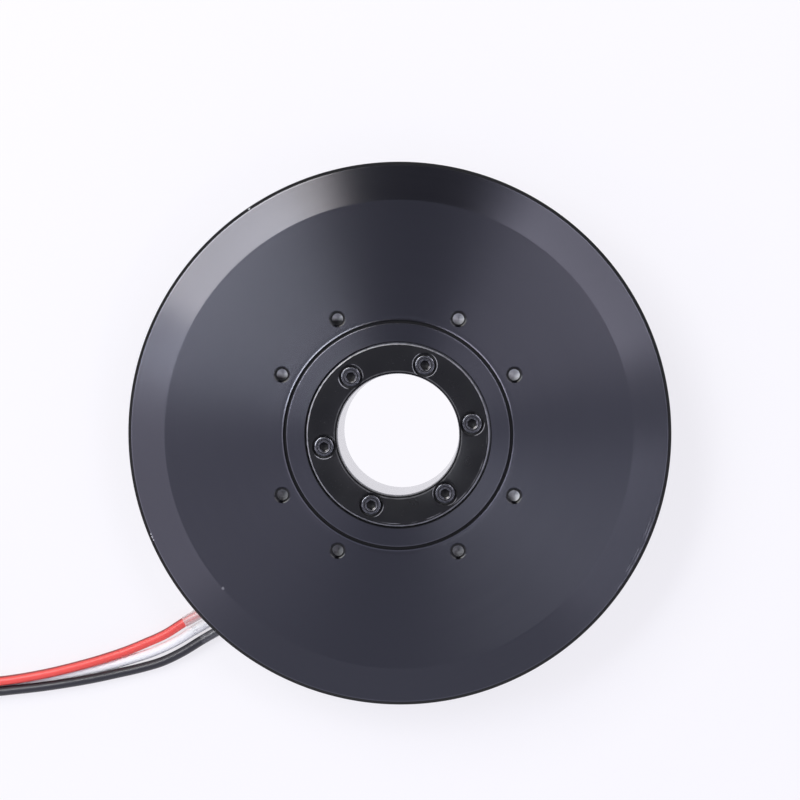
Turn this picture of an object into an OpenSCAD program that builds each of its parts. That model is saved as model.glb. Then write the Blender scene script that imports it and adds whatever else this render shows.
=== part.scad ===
// Hollow-shaft brushless servo motor: a flat outer-rotor motor that lies on its mounting face.
// The Z axis is the motor's axis, z = 0 is the rear mounting face, and +Z is the turning front face.

/* [Overall] */
// Outside diameter of the turning bell
bell_d = 161; // [155:1:200]
// Height from the mounting face to the front face
motor_h = 34; // [34:0.5:44]
// Diameter of the bore through the motor
bore_d = 36; // [30:0.5:44]

/* [Bell] */
// Width of the bevelled ring round the flat front face
bevel_w = 11.5; // [6:0.5:14]
// How far the bevel falls from the front face to the rim
bevel_drop = 3.2; // [2:0.1:6]
// Chamfer between the bevel and the side wall
rim_c = 0.9; // [0.4:0.1:1.2]
// Small chamfer on the side wall's lower edge
foot_c = 0.5; // [0.2:0.1:0.8]
// Thickness of the bell's side wall
wall_t = 2.5; // [2:0.1:3.5]
// Thickness of the front plate over the windings
plate_t = 5; // [3.5:0.1:5.5]
// Thickness of the boss that takes the load screws
boss_t = 8.5; // [8:0.1:8.8]
// Thickness of the lip over the front bearing
lip_t = 5.5; // [4:0.1:6]
// Gap between the lip and the fixed hub ring
hub_gap = 0.3; // [0.2:0.05:0.6]
// Middle diameter of the turned groove in the front face
groove_d = 66.8; // [62:0.1:71]
// Width of that groove
groove_w = 1.3; // [0.8:0.1:1.8]
// Depth of that groove
groove_depth = 0.8; // [0.4:0.1:1.5]

/* [Load holes] */
// Circle that the eight tapped holes lie on
load_pcd = 77; // [74:0.5:82]
// Angle between the two holes of a pair
load_pair = 35; // [25:1:55]
// Depth of full diameter
load_depth = 4; // [3:0.5:6]
// Radius of a tapped M4 hole, at the thread's crests
tap_r = 1.65; // [1.25:0.05:2.1]
// Countersink at the hole's mouth
tap_sink = 0.45; // [0.2:0.05:0.45]

/* [Mounting holes] */
// Circle that the rear mounting holes lie on
mount_pcd = 120; // [110:1:124]
// Number of rear mounting holes
mount_count = 6; // [4:2:8]

/* [Base] */
// Thickness of the base's floor
floor_t = 5; // [4:0.1:6]
// Height of the base's rim
rim_h = 7.4; // [7:0.1:8]
// Width of the base's rim
rim_w = 8.5; // [6:0.5:9]
// How much smaller the base is than the bell, on the radius
base_inset = 0.5; // [0:0.1:1]
// Gap between the base's rim and the bell's edge
rim_gap = 0.8; // [0.5:0.1:1.5]
// Wall of the base's ring that carries the stator
carrier_wall = 4; // [3:0.1:4.5]
// Gap between that ring and the bell's sleeve
carrier_gap = 3; // [1:0.1:3.5]

/* [Magnets] */
// Number of magnet poles
pole_count = 42; // [28:14:42]
// Thickness of a magnet
magnet_t = 3; // [2:0.1:4]
// How far the steel ring reaches past the magnets
magnet_end = 1; // [0.5:0.1:2]
// Share of a pole's pitch that its magnet fills
magnet_fill = 0.88; // [0.7:0.01:0.95]
// Thickness of the steel ring behind the magnets
iron_t = 3; // [2:0.1:4]
// Gap between magnets and stator
air_gap = 0.8; // [0.6:0.05:1.2]

/* [Stator] */
// Number of teeth
tooth_count = 36; // [36]
// Clearance between the windings and the front plate
front_clear = 1.9; // [1.5:0.1:3]
// Width of the iron behind the teeth
yoke_t = 4.5; // [3.5:0.1:5]
// Width of a tooth
tooth_w = 4; // [3:0.1:4.2]
// Thickness of a tooth's tip
tip_t = 1.9; // [1.2:0.1:2.5]
// Opening between two tips
slot_open = 2.4; // [1.6:0.1:3]
// Thickness of a coil's winding
coil_t = 2.1; // [1.4:0.1:2.2]
// Thickness of the end insulators
insul_t = 1; // [0.8:0.1:1.2]

/* [Bearings] */
// Wall of the hollow shaft, from its bore to the bearings
shaft_wall = 7; // [6:0.25:9]
// Width of a bearing
bearing_w = 7; // [6:0.5:7]
// Height of a bearing's section, from its bore to its outside
bearing_s = 7.5; // [7:0.25:9]
// Diameter of a ball
ball_d = 3.96; // [3:0.01:4.2]
// Number of balls in a bearing
ball_count = 22; // [16:1:23]
// Wall of the bell's sleeve round the bearings
sleeve_wall = 4.5; // [3:0.25:5]

/* [Screws] */
// Thread diameter of the hub and shaft screws
screw_d = 3; // [2.5:0.1:3.5]
// Diameter of a cap screw's head
head_d = 5.7; // [4.5:0.1:5.8]
// Number of hub screws
hub_screw_count = 6; // [4:1:8]
// Angle of the first hub screw
hub_screw_turn = 9; // [0:1:60]

/* [Leads] */
// Diameter of a lead over its insulation
lead_d = 3; // [2:0.1:3.1]
// Thickness of the clear sleeve on a lead
sleeve_t = 0.3; // [0.2:0.05:0.3]
// Distance between the leads in the outlet
lead_pitch = 3.8; // [3.8:0.05:4.4]
// Direction in which the leads leave, in degrees from +X
outlet_turn = 210; // [200:1:220]
// Distance of the outlet's middle from the motor's axis
outlet_off = 22; // [16:0.5:26]

/* [Hidden] */
$fn = 96;

// Small shared values
thread_gap = 0.02;   // clearance of a screw in its thread
seat_gap = 0.02;     // clearance of a turned spigot in its recess
glue_gap = 0.05;     // film of adhesive between the magnets and the steel ring
over = 1;            // how far a cutting shape runs past what it cuts
edge_c = 0.4;        // chamfer on a turned edge
fine_c = 0.2;        // broken edge of a groove

// Bell, from the rim inwards
bell_r = bell_d / 2;
face_r = bell_r - bevel_w;
wall_in_r = bell_r - wall_t;
wall_z = rim_h + rim_gap;
iron_in_r = wall_in_r - iron_t;
magnet_in_r = iron_in_r - glue_gap - magnet_t;
plate_z = motor_h - plate_t;
boss_z = motor_h - boss_t;
iron_z = wall_z + edge_c;
iron_seat = 1.5;     // width of the step that the steel ring stands on
corner_c = 2.6;      // chamfer in the corner between side wall and front plate
iron_clear = 0.8;    // between the steel ring and that corner
iron_h = plate_z - corner_c - iron_clear - iron_z;
magnet_h = iron_h - magnet_end;

// Shaft and sleeve, from the bore outwards
bore_r = bore_d / 2;
shaft_r = bore_r + shaft_wall;
race_out_r = shaft_r + bearing_s;
sleeve_r = race_out_r + sleeve_wall;

// Base
base_r = bell_r - base_inset;
carrier_r = sleeve_r + carrier_gap;
stator_bore_r = carrier_r + carrier_wall;
shoulder_w = 2.5;    // width of the step that the stator stands on
shoulder_r = stator_bore_r + shoulder_w;
foot_edge = 1;       // chamfer round the mounting face
outer_c = 0.5;       // chamfer at the carrier's and the boss's top

// Stator, from the floor up and from the bore outwards
end_clear = 0.9;
coil_z = floor_t + end_clear;
insul_z = coil_z + coil_t;
stack_z = insul_z + insul_t;
stack_h = plate_z - front_clear - coil_t - insul_t - stack_z;
stack_top = stack_z + stack_h;
carrier_rise = 0.5;  // how far the carrier may stand over the stack
boss_gap = 1;        // least gap between the carrier and the boss
carrier_top = min(stack_top + carrier_rise, boss_z - boss_gap);
stator_r = magnet_in_r - air_gap;
tooth_in_r = stator_bore_r + yoke_t;
tooth_step = 360 / tooth_count;
tip_r = stator_r - tip_t;
liner_t = 0.3;
coil_in_w = tooth_w + 2 * liner_t;
coil_w = coil_in_w + 2 * coil_t;
coil_clear = 0.16;
lug_t = 1;
lug_gap = 0.1;       // between a lug and its coil
insul_ring_r = tooth_in_r + 1;
wire_w = 0.7;
wire_rows = [shoulder_r + 1.1, shoulder_r + 2.4, shoulder_r + 3.7];
coil_in_r = max(
    (coil_w / 2 + coil_clear) / tan(tooth_step / 2),
    insul_ring_r + lug_gap,
    wire_rows[2] + wire_w / 2 + coil_clear + lug_t + lug_gap
);
coil_out_r = tip_r - 1.8;
lug_in_r = coil_in_r - lug_gap - lug_t;

// Boss round the load holes, clear of the windings
boss_wall = 3.85;
boss_clear = 0.5;
boss_c = 1;          // chamfer between the boss and the plate
boss_r = min(load_pcd / 2 + tap_r + boss_wall, lug_in_r - boss_clear);

// Bearings
pitch_r = (shaft_r + race_out_r) / 2;
ball_r = ball_d / 2;
race_clear = 0.06;   // how much larger a race's groove is than the ball
groove_r = ball_r + race_clear;
land = 1.2;          // half of the opening between the races
inner_land_r = pitch_r - land;
outer_land_r = pitch_r + land;
shoulder_h = 2.6;
flange_t = 3;
flange_top = floor_t + flange_t;
shaft_shoulder_r = shaft_r + 2.2;
flange_r = shaft_r + 11;
rear_bearing_z = flange_top + shoulder_h;
front_bearing_top = motor_h - lip_t;
front_bearing_z = front_bearing_top - bearing_w;
spacer_z = rear_bearing_z + bearing_w;
spacer_h = front_bearing_z - spacer_z;
sleeve_clear = 0.6;  // between the bell's sleeve and the shaft's flange
sleeve_z = flange_top + sleeve_clear;
relief_h = 0.6;      // recess over the front bearing
relief_side = 0.25;  // and how far it starts outside the race's opening
snap_t = 1;
snap_depth = 1.5;
cage_r_half = 0.8;
cage_h = 5.4;
pocket_r = ball_r + 0.07;
shield_t = 0.3;
shield_inset = 0.25;

// Hub ring and its screws
hub_recess = 0.5;
hub_top = motor_h - hub_recess;
hub_bore_r = bore_r + 0.2;
hub_bore_c = 0.5;    // chamfer at the mouth of its bore
hub_r = shaft_r + 2;
lip_r = hub_r + hub_gap;
lip_c = 0.3;
hub_pcr = (bore_r + shaft_r) / 2 + 0.6;
spigot_wall = 1.5;
clamp_gap = 0.1;
shaft_top = front_bearing_top - clamp_gap;
shaft_foot = 0.3;    // the shaft's end lies this far above the mounting face
bore_c = 0.5;        // chamfer at that end of the bore
screw_r = screw_d / 2;
head_h = screw_d;
head_c = 0.35;       // chamfer round a cap screw's head
thread_c = 0.4;      // chamfer at a thread's end
sink_clear = 0.7;
hub_sink_r = head_d / 2 + sink_clear;
sink_depth = 0.2;    // how far a head lies below the ring's face
hub_seat_z = hub_top - head_h - sink_depth;
spigot_clear = 0.3;
spigot_top = hub_seat_z - spigot_clear;
hub_screw_len = 8;

// Shaft screws, countersunk in the rear face
shaft_screw_count = 6;
shaft_screw_pcr = shaft_r + 5.5;
flat_head_r = screw_d * 0.93;
flat_head_h = flat_head_r - screw_r;
flat_recess = 0.1;

// Outlet and leads
lead_r = lead_d / 2;
lead_z = 3.5;
sleeve_fit = 0.03;   // clearance of a lead in its sleeve
sleeve_in_r = lead_r + sleeve_fit;
sleeve_out_r = sleeve_in_r + sleeve_t;
slot_h = 4.4;
slot_w = 2 * lead_pitch + slot_h + 0.4;
splice_r = 1.6;
sleeve_start = 66;
sleeve_ends = [89, 88, 87];
wire_step = 0.8;
stub_turn = 3.2;
splice_len = 7;
splice_start = wire_u(-1) + 1;
lead_start = splice_start + splice_len;
channel_start = wire_u(1) - 1.3;

// The leads' routes from the ends of their sleeves to the coil, each point [x, y, z]
red_route = [
    [-74, -64.1, 3.3], [-80, -66.9, 3.1], [-87, -69.8, 3], [-94.5, -72.3, 3.3], [-102, -74.4, 3.7],
    [-109.5, -76.25, 3.95], [-117, -77.8, 4.05], [-125, -79.05, 4.1], [-133, -79.8, 4.1],
    [-141, -80.2, 4.1], [-148, -80.25, 4.1], [-155, -80.25, 4.1]
];
white_route = [
    [-71, -66.6, 3], [-78, -69.9, 2.3], [-85.5, -72.5, 1.8], [-93, -74.7, 1.5], [-100.5, -76.5, 1.5],
    [-108, -78.05, 1.5], [-116, -79.4, 1.5], [-124.5, -80.6, 1.5], [-133, -81.4, 1.5],
    [-141, -81.75, 1.5], [-148, -81.8, 1.5], [-155, -81.8, 1.5]
];
black_route = [
    [-68.5, -69.6, 3.3], [-75, -72.8, 3.1], [-82, -74.95, 3], [-89.5, -76.7, 3.1], [-97, -78.3, 3.45],
    [-105, -79.7, 3.8], [-113, -80.9, 4], [-121, -81.85, 4.05], [-130, -82.8, 4.1],
    [-138, -83.25, 4.1], [-146.5, -83.35, 4.1], [-155, -83.35, 4.1]
];

// The coil: the leads lie as a bundle of three and wind inwards for two turns
coil_c = [-155, -58.75];
bundle_r = 23.05;
turn_pitch = 6.5;
coil_turns = 2;
bundle_half = 3.1;
bundle_h = 5.65;
bundle_end_r = bundle_r - coil_turns * turn_pitch;
lead_side = 1.55;
low_z = 1.5;
high_z = 4.1;
tip_len = 4;
tip_clear = 0.5;
tip_wire_r = 0.75;

black_anodised = [0.16, 0.16, 0.18];
bright_metal = [0.82, 0.83, 0.85];
dark_steel = [0.22, 0.22, 0.23];
bearing_steel = [0.7, 0.71, 0.73];
copper_enamel = [0.72, 0.36, 0.16];

// Places children at each of n equal steps round the axis
module around(n, r = 0, turn = 0) {
    for (i = [0 : n - 1]) rotate([0, 0, turn + i * 360 / n]) translate([r, 0, 0]) children();
}

// A ring of rectangular section
module ring(r_in, r_out, z, h) {
    translate([0, 0, z]) rotate_extrude() translate([r_in, 0]) square([r_out - r_in, h]);
}

// A rectangle with round corners, made of true arcs
module rounded(w, h, r) {
    square([w - 2 * r, h], center = true);
    square([w, h - 2 * r], center = true);
    for (x = [-1, 1], y = [-1, 1])
        translate([x * (w / 2 - r), y * (h / 2 - r)]) circle(r = r, $fn = 24);
}

// The eight angles of the load holes, in pairs about each diagonal
function load_angles() =
    [for (q = [0 : 3], s = [-1, 1]) 45 + 90 * q + s * load_pair / 2];

// A tapped blind hole with its mouth at z = 0, going down
module tapped_hole(r, depth) {
    translate([0, 0, -depth]) cylinder(r = r, h = depth + over, $fn = 48);
    translate([0, 0, -depth - r * 0.6]) cylinder(r1 = 0, r2 = r, h = r * 0.6, $fn = 48);
    translate([0, 0, -tap_sink]) cylinder(r1 = r, r2 = r + tap_sink + over, h = tap_sink + over, $fn = 48);
}

// A hexagonal socket of width af across its flats, with its mouth at z = 0
module hex_socket(af, depth) {
    translate([0, 0, -depth]) cylinder(r = af / 2 / cos(30), h = depth + over, $fn = 6);
    translate([0, 0, -depth - af * 0.2]) cylinder(r1 = 0, r2 = af / 2, h = af * 0.2 + 0.01, $fn = 24);
}

// A socket cap screw, seated at z = 0 with its thread below
module cap_screw(len) {
    difference() {
        union() {
            rotate_extrude($fn = 48) polygon([
                [0, 0], [head_d / 2, 0], [head_d / 2, head_h - head_c],
                [head_d / 2 - head_c, head_h], [0, head_h]
            ]);
            translate([0, 0, -len + thread_c])
                cylinder(r = screw_r - thread_gap, h = len - thread_c + head_c, $fn = 48);
            translate([0, 0, -len])
                cylinder(r1 = screw_r - thread_c, r2 = screw_r - thread_gap, h = thread_c, $fn = 48);
        }
        translate([0, 0, head_h]) hex_socket(screw_d * 0.83, screw_d / 2);
    }
}

// A countersunk screw with its head's face at z = 0 and its thread going up
module flat_screw(len) {
    difference() {
        union() {
            cylinder(r1 = flat_head_r - thread_gap, r2 = screw_r - thread_gap, h = flat_head_h, $fn = 48);
            cylinder(r = screw_r - thread_gap, h = len, $fn = 48);
        }
        mirror([0, 0, 1]) hex_socket(screw_d * 0.67, screw_d * 0.4);
    }
}

// Puts children in the outlet's frame: x runs outwards along the leads, y across them
module at_outlet() {
    rotate([0, 0, outlet_turn]) children();
}

// The same place as a point, for a lead of row -1, 0 or 1
function outlet_point(u, row, z) =
    let (v = outlet_off + row * lead_pitch)
    [u * cos(outlet_turn) - v * sin(outlet_turn), u * sin(outlet_turn) + v * cos(outlet_turn), z];

// How far out along the outlet the wire of a row comes down
function wire_u(row) = sqrt(pow(wire_rows[row + 1], 2) - pow(outlet_off + row * lead_pitch, 2));

// The outlet: a slot with round ends, drawn out along x
module outlet_slot(start, end) {
    translate([start, outlet_off, lead_z]) rotate([90, 0, 90])
        linear_extrude(end - start) {
            square([slot_w - slot_h, slot_h], center = true);
            for (side = [-1, 1]) translate([side * (slot_w - slot_h) / 2, 0]) circle(r = slot_h / 2, $fn = 48);
        }
}

module base_plate() color(black_anodised) {
    difference() {
        rotate_extrude() polygon([
            [shaft_r, 0], [base_r - foot_edge, 0], [base_r, foot_edge], [base_r, rim_h - edge_c],
            [base_r - edge_c, rim_h],
            [base_r - rim_w, rim_h], [base_r - rim_w, floor_t], [shoulder_r, floor_t],
            [shoulder_r, stack_z], [stator_bore_r, stack_z], [stator_bore_r, carrier_top - outer_c],
            [stator_bore_r - outer_c, carrier_top], [carrier_r, carrier_top], [carrier_r, floor_t],
            [shaft_r, floor_t]
        ]);
        around(mount_count, mount_pcd / 2, 180 / mount_count) {
            translate([0, 0, -over]) cylinder(r = tap_r, h = floor_t + 2 * over, $fn = 48);
            translate([0, 0, -over])
                cylinder(r1 = tap_r + tap_sink + over, r2 = tap_r, h = tap_sink + over, $fn = 48);
        }
        around(shaft_screw_count, shaft_screw_pcr) {
            cylinder(r = screw_r + 0.2, h = floor_t + over, $fn = 48);
            translate([0, 0, -over]) cylinder(r = flat_head_r, h = over + flat_recess, $fn = 48);
            translate([0, 0, flat_recess])
                cylinder(r1 = flat_head_r, r2 = screw_r, h = flat_head_h, $fn = 48);
        }
        at_outlet() {
            outlet_slot(base_r - 2 * rim_w, base_r + over);
            translate([channel_start, outlet_off - slot_w / 2, lead_z - slot_h / 2])
                cube([base_r - rim_w - channel_start - 2, slot_w, floor_t]);
        }
    }
}

// One lead's place in the outlet, as a gland
module lead_grommet() color([0.12, 0.12, 0.12]) {
    difference() {
        intersection() {
            ring(base_r - rim_w + 0.3, base_r - 0.6, 0, rim_h);
            at_outlet() outlet_slot(base_r - 2 * rim_w, base_r + over);
        }
        at_outlet() for (row = [-1 : 1])
            translate([base_r - 2 * rim_w, outlet_off + row * lead_pitch, lead_z]) rotate([0, 90, 0])
                cylinder(r = sleeve_out_r, h = 2 * rim_w + over, $fn = 48);
    }
}

module hollow_shaft() color(bright_metal) {
    difference() {
        rotate_extrude() polygon([
            [bore_r + bore_c, shaft_foot], [bore_r, shaft_foot + bore_c], [bore_r, spigot_top - edge_c],
            [bore_r + edge_c, spigot_top],
            [bore_r + spigot_wall, spigot_top], [bore_r + spigot_wall, shaft_top], [shaft_r - lip_c, shaft_top],
            [shaft_r, shaft_top - lip_c], [shaft_r, rear_bearing_z], [shaft_shoulder_r, rear_bearing_z],
            [shaft_shoulder_r, flange_top], [flange_r, flange_top], [flange_r, floor_t],
            [shaft_r, floor_t], [shaft_r, shaft_foot]
        ]);
        around(hub_screw_count, hub_pcr, hub_screw_turn)
            translate([0, 0, hub_seat_z - hub_screw_len - 1])
                cylinder(r = screw_r, h = hub_screw_len + over, $fn = 48);
        around(shaft_screw_count, shaft_screw_pcr)
            translate([0, 0, floor_t - over]) cylinder(r = screw_r, h = flange_t + 2 * over, $fn = 48);
    }
}

module shaft_screws() color(dark_steel)
    around(shaft_screw_count, shaft_screw_pcr)
        translate([0, 0, flat_recess]) flat_screw(flange_top - flat_recess - 0.2);

module hub_ring() color(black_anodised) {
    difference() {
        rotate_extrude() polygon([
            [bore_r + spigot_wall + seat_gap, front_bearing_top], [hub_r, front_bearing_top],
            [hub_r, hub_top - edge_c], [hub_r - edge_c, hub_top], [hub_bore_r + hub_bore_c, hub_top],
            [hub_bore_r, hub_top - hub_bore_c], [hub_bore_r, spigot_top + 0.1],
            [bore_r + spigot_wall + seat_gap, spigot_top + 0.1]
        ]);
        around(hub_screw_count, hub_pcr, hub_screw_turn) {
            translate([0, 0, hub_seat_z]) cylinder(r = hub_sink_r, h = head_h + over, $fn = 48);
            translate([0, 0, front_bearing_top - over])
                cylinder(r = screw_r + 0.15, h = hub_top, $fn = 48);
        }
    }
}

module hub_screws() color(dark_steel)
    around(hub_screw_count, hub_pcr, hub_screw_turn)
        translate([0, 0, hub_seat_z]) cap_screw(hub_screw_len);

// One half of a slot's outline, at radius r along the tooth beside it
function slot_corner(r, side) =
    let (a = tooth_step / 2)
    [r * cos(a) + tooth_w / 2 * sin(a), side * (r * sin(a) - tooth_w / 2 * cos(a))];

module stator_core() color([0.55, 0.56, 0.58]) {
    translate([0, 0, stack_z]) linear_extrude(stack_h) difference() {
        circle(r = stator_r);
        circle(r = stator_bore_r);
        around(tooth_count, 0, tooth_step / 2) {
            polygon([
                slot_corner(tooth_in_r, -1), slot_corner(tip_r - 0.6, -1), [tip_r + 0.2, -slot_open / 2],
                [tip_r + 0.2, slot_open / 2], slot_corner(tip_r - 0.6, 1), slot_corner(tooth_in_r, 1)
            ]);
            translate([tip_r, -slot_open / 2]) square([tip_t + over, slot_open]);
        }
    }
}

// An end cap over the teeth, with a lug before and behind each coil, seated at z = 0
module insulator(ring_in_r) {
    linear_extrude(insul_t) {
        difference() {
            circle(r = insul_ring_r);
            circle(r = ring_in_r);
        }
        around(tooth_count, tooth_in_r) translate([0, -tooth_w / 2])
            square([coil_out_r + lug_t - tooth_in_r, tooth_w]);
    }
    around(tooth_count) for (r = [lug_in_r, coil_out_r + lug_gap])
        translate([r, -tooth_w / 2, insul_t]) cube([lug_t, tooth_w, coil_t - 0.2]);
}

module front_insulator() color([0.9, 0.88, 0.8])
    translate([0, 0, stack_top]) insulator(stator_bore_r + 1);

module rear_insulator() color([0.9, 0.88, 0.8])
    translate([0, 0, stack_z]) mirror([0, 0, 1]) insulator(shoulder_r + 0.5);

// One coil, wound round the tooth that points along +X
module coil() {
    h_in = stack_h + 2 * insul_t;
    translate([coil_in_r, 0, stack_z + stack_h / 2]) rotate([90, 0, 90])
        linear_extrude(coil_out_r - coil_in_r) difference() {
            rounded(coil_w, h_in + 2 * coil_t, coil_t);
            square([coil_in_w, h_in], center = true);
        }
}

// The coils of a phase: two teeth side by side, then every sixth tooth
module phase_coils(phase)
    for (k = [0 : tooth_count - 1]) if (floor(k / 2) % 3 == phase)
        rotate([0, 0, k * tooth_step]) coil();

module coils_phase_a() color(copper_enamel) phase_coils(0);
module coils_phase_b() color(copper_enamel * 0.94) phase_coils(1);
module coils_phase_c() color(copper_enamel * 0.88) phase_coils(2);

// A flat wire along an arc of radius r, its middle at height z
module wire_arc(r, z, from, to)
    translate([0, 0, z - wire_w / 2]) rotate([0, 0, from])
        rotate_extrude(angle = to - from) translate([r - wire_w / 2, 0]) square(wire_w);

// Its stub, which reaches out to the coils' inner ends
module wire_stub(r, z, angle)
    rotate([0, 0, angle]) translate([r, -wire_w / 2, z - wire_w / 2])
        cube([coil_in_r - r, wire_w, wire_w]);

// From each splice a wire rises, follows its row round the shoulder and ends at a coil of its phase
module phase_wires() color(copper_enamel)
    for (row = [-1 : 1]) {
        r = wire_rows[row + 1];
        v = outlet_off + row * lead_pitch;
        u = wire_u(row);
        z = insul_z - 0.5 - (row + 1) * wire_step;
        from = outlet_turn + atan2(v, u);
        to = 240 + 20 * (row + 1) + stub_turn;
        at_outlet() {
            translate([u - wire_w / 2, v - wire_w / 2, lead_z - wire_w / 2])
                cube([splice_start - u + wire_w / 2, wire_w, wire_w]);
            translate([u - wire_w / 2, v - wire_w / 2, lead_z - wire_w / 2])
                cube([wire_w, wire_w, z - lead_z + wire_w]);
        }
        wire_arc(r, z, from, to);
        wire_stub(r, z, to);
    }

// Joins the other ends of the three phases
module star_wire() color(copper_enamel) {
    r = wire_rows[1];
    z = insul_z - 0.5 - wire_step;
    wire_arc(r, z, 60 + stub_turn, 100 + stub_turn);
    for (angle = [60, 80, 100]) wire_stub(r, z, angle + stub_turn);
}

module lead_splices() color([0.78, 0.76, 0.7])
    at_outlet() for (row = [-1 : 1])
        translate([splice_start, outlet_off + row * lead_pitch, lead_z]) rotate([0, 90, 0])
            cylinder(r = splice_r, h = lead_start - splice_start, $fn = 32);

// A ball bearing's inner or outer race, with its bottom at z = 0
module inner_race() color(bearing_steel)
    rotate_extrude() difference() {
        translate([shaft_r, 0]) square([inner_land_r - shaft_r, bearing_w]);
        translate([pitch_r, bearing_w / 2]) circle(r = groove_r, $fn = 64);
    }

module outer_race() color(bearing_steel)
    rotate_extrude() difference() {
        translate([outer_land_r, 0]) square([race_out_r - outer_land_r, bearing_w]);
        translate([pitch_r, bearing_w / 2]) circle(r = groove_r, $fn = 64);
    }

module bearing_balls() color([0.85, 0.86, 0.88])
    around(ball_count, pitch_r) translate([0, 0, bearing_w / 2]) sphere(r = ball_r, $fn = 48);

module ball_cage() color([0.8, 0.65, 0.35])
    difference() {
        ring(pitch_r - cage_r_half, pitch_r + cage_r_half, (bearing_w - cage_h) / 2, cage_h);
        around(ball_count, pitch_r - 2 * cage_r_half) translate([0, 0, bearing_w / 2]) rotate([0, 90, 0])
            cylinder(r = pocket_r, h = 4 * cage_r_half, $fn = 32);
    }

module shields() color([0.6, 0.6, 0.62])
    for (z = [shield_inset, bearing_w - shield_inset - shield_t])
        ring(inner_land_r + 0.2, outer_land_r, z, shield_t);

module front_inner_race() translate([0, 0, front_bearing_z]) inner_race();
module rear_inner_race() translate([0, 0, rear_bearing_z]) inner_race();
module front_outer_race() translate([0, 0, front_bearing_z]) outer_race();
module rear_outer_race() translate([0, 0, rear_bearing_z]) outer_race();
module front_balls() translate([0, 0, front_bearing_z]) bearing_balls();
module rear_balls() translate([0, 0, rear_bearing_z]) bearing_balls();
module front_cage() translate([0, 0, front_bearing_z]) ball_cage();
module rear_cage() translate([0, 0, rear_bearing_z]) ball_cage();
module front_shields() translate([0, 0, front_bearing_z]) shields();
module rear_shields() translate([0, 0, rear_bearing_z]) shields();

module inner_spacer() color(bright_metal) ring(shaft_r, shaft_shoulder_r, spacer_z, spacer_h);
module outer_spacer() color(bright_metal) ring(race_out_r - 2.3, race_out_r, spacer_z, spacer_h);

// The sprung ring that holds the rear bearing in the bell's sleeve
module snap_ring() color(dark_steel) {
    ear_turn = 12;
    ear_r = 1.5;
    ear_hole_r = 0.7;
    ear_at = race_out_r - 1.7;
    band = 1.3;
    gap_turn = 7;
    reach = race_out_r * 1.5;
    difference() {
        union() {
            ring(race_out_r - band, race_out_r + snap_depth, rear_bearing_z - snap_t, snap_t);
            for (side = [-1, 1]) rotate([0, 0, side * ear_turn])
                translate([ear_at, 0, rear_bearing_z - snap_t]) cylinder(r = ear_r, h = snap_t, $fn = 32);
        }
        for (side = [-1, 1]) rotate([0, 0, side * ear_turn])
            translate([ear_at, 0, 0]) cylinder(r = ear_hole_r, h = motor_h, $fn = 32);
        translate([0, 0, rear_bearing_z - snap_t - over]) linear_extrude(snap_t + 2 * over) polygon([
            [0, 0], [reach * cos(gap_turn), -reach * sin(gap_turn)], [reach * cos(gap_turn), reach * sin(gap_turn)]
        ]);
    }
}

module rotor_bell() color(black_anodised) {
    g = groove_w / 2;
    gr = groove_d / 2;
    relief_r = outer_land_r + relief_side;
    difference() {
        rotate_extrude() polygon([
            [face_r, motor_h], [bell_r - rim_c, motor_h - bevel_drop],
            [bell_r, motor_h - bevel_drop - rim_c], [bell_r, wall_z + foot_c], [bell_r - foot_c, wall_z],
            [wall_in_r, wall_z], [wall_in_r, iron_z + iron_h], [wall_in_r - iron_seat, iron_z + iron_h],
            [wall_in_r - iron_seat, plate_z - corner_c], [wall_in_r - iron_seat - corner_c, plate_z],
            [boss_r + boss_c, plate_z],
            [boss_r, plate_z - boss_c], [boss_r, boss_z + outer_c], [boss_r - outer_c, boss_z], [sleeve_r, boss_z],
            [sleeve_r, sleeve_z + edge_c], [sleeve_r - edge_c, sleeve_z], [race_out_r, sleeve_z],
            [race_out_r, rear_bearing_z - snap_t], [race_out_r + snap_depth, rear_bearing_z - snap_t],
            [race_out_r + snap_depth, rear_bearing_z], [race_out_r, rear_bearing_z],
            [race_out_r, front_bearing_top], [relief_r, front_bearing_top],
            [relief_r, front_bearing_top + relief_h], [lip_r, front_bearing_top + relief_h],
            [lip_r, motor_h - lip_c], [lip_r + lip_c, motor_h], [gr - g - fine_c, motor_h],
            [gr - g, motor_h - fine_c], [gr - g, motor_h - groove_depth], [gr + g, motor_h - groove_depth],
            [gr + g, motor_h - fine_c], [gr + g + fine_c, motor_h]
        ]);
        for (a = load_angles()) rotate([0, 0, a]) translate([load_pcd / 2, 0, motor_h])
            tapped_hole(tap_r, load_depth);
    }
}

module back_iron() color([0.45, 0.45, 0.47]) ring(iron_in_r, wall_in_r, iron_z, iron_h);

// Every second magnet of the ring, starting at pole number first
module magnets(first)
    for (k = [first : 2 : pole_count - 1]) rotate([0, 0, (k - magnet_fill / 2) * 360 / pole_count])
        translate([0, 0, iron_z]) rotate_extrude(angle = magnet_fill * 360 / pole_count)
            translate([magnet_in_r, 0]) square([magnet_t, magnet_h]);

module magnets_north() color([0.62, 0.63, 0.66]) magnets(0);
module magnets_south() color([0.52, 0.53, 0.57]) magnets(1);

// A clear sleeve on the lead of one row, from inside the rim to just outside it
module lead_sleeve(row) color([0.9, 0.9, 0.92, 0.5])
    at_outlet() translate([sleeve_start, outlet_off + row * lead_pitch, lead_z]) rotate([0, 90, 0])
        difference() {
            cylinder(r = sleeve_out_r, h = sleeve_ends[row + 1] - sleeve_start, $fn = 48);
            translate([0, 0, -over])
                cylinder(r = sleeve_in_r, h = sleeve_ends[row + 1] - sleeve_start + 2 * over, $fn = 48);
        }

module sleeve_red() lead_sleeve(-1);
module sleeve_white() lead_sleeve(0);
module sleeve_black() lead_sleeve(1);

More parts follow.
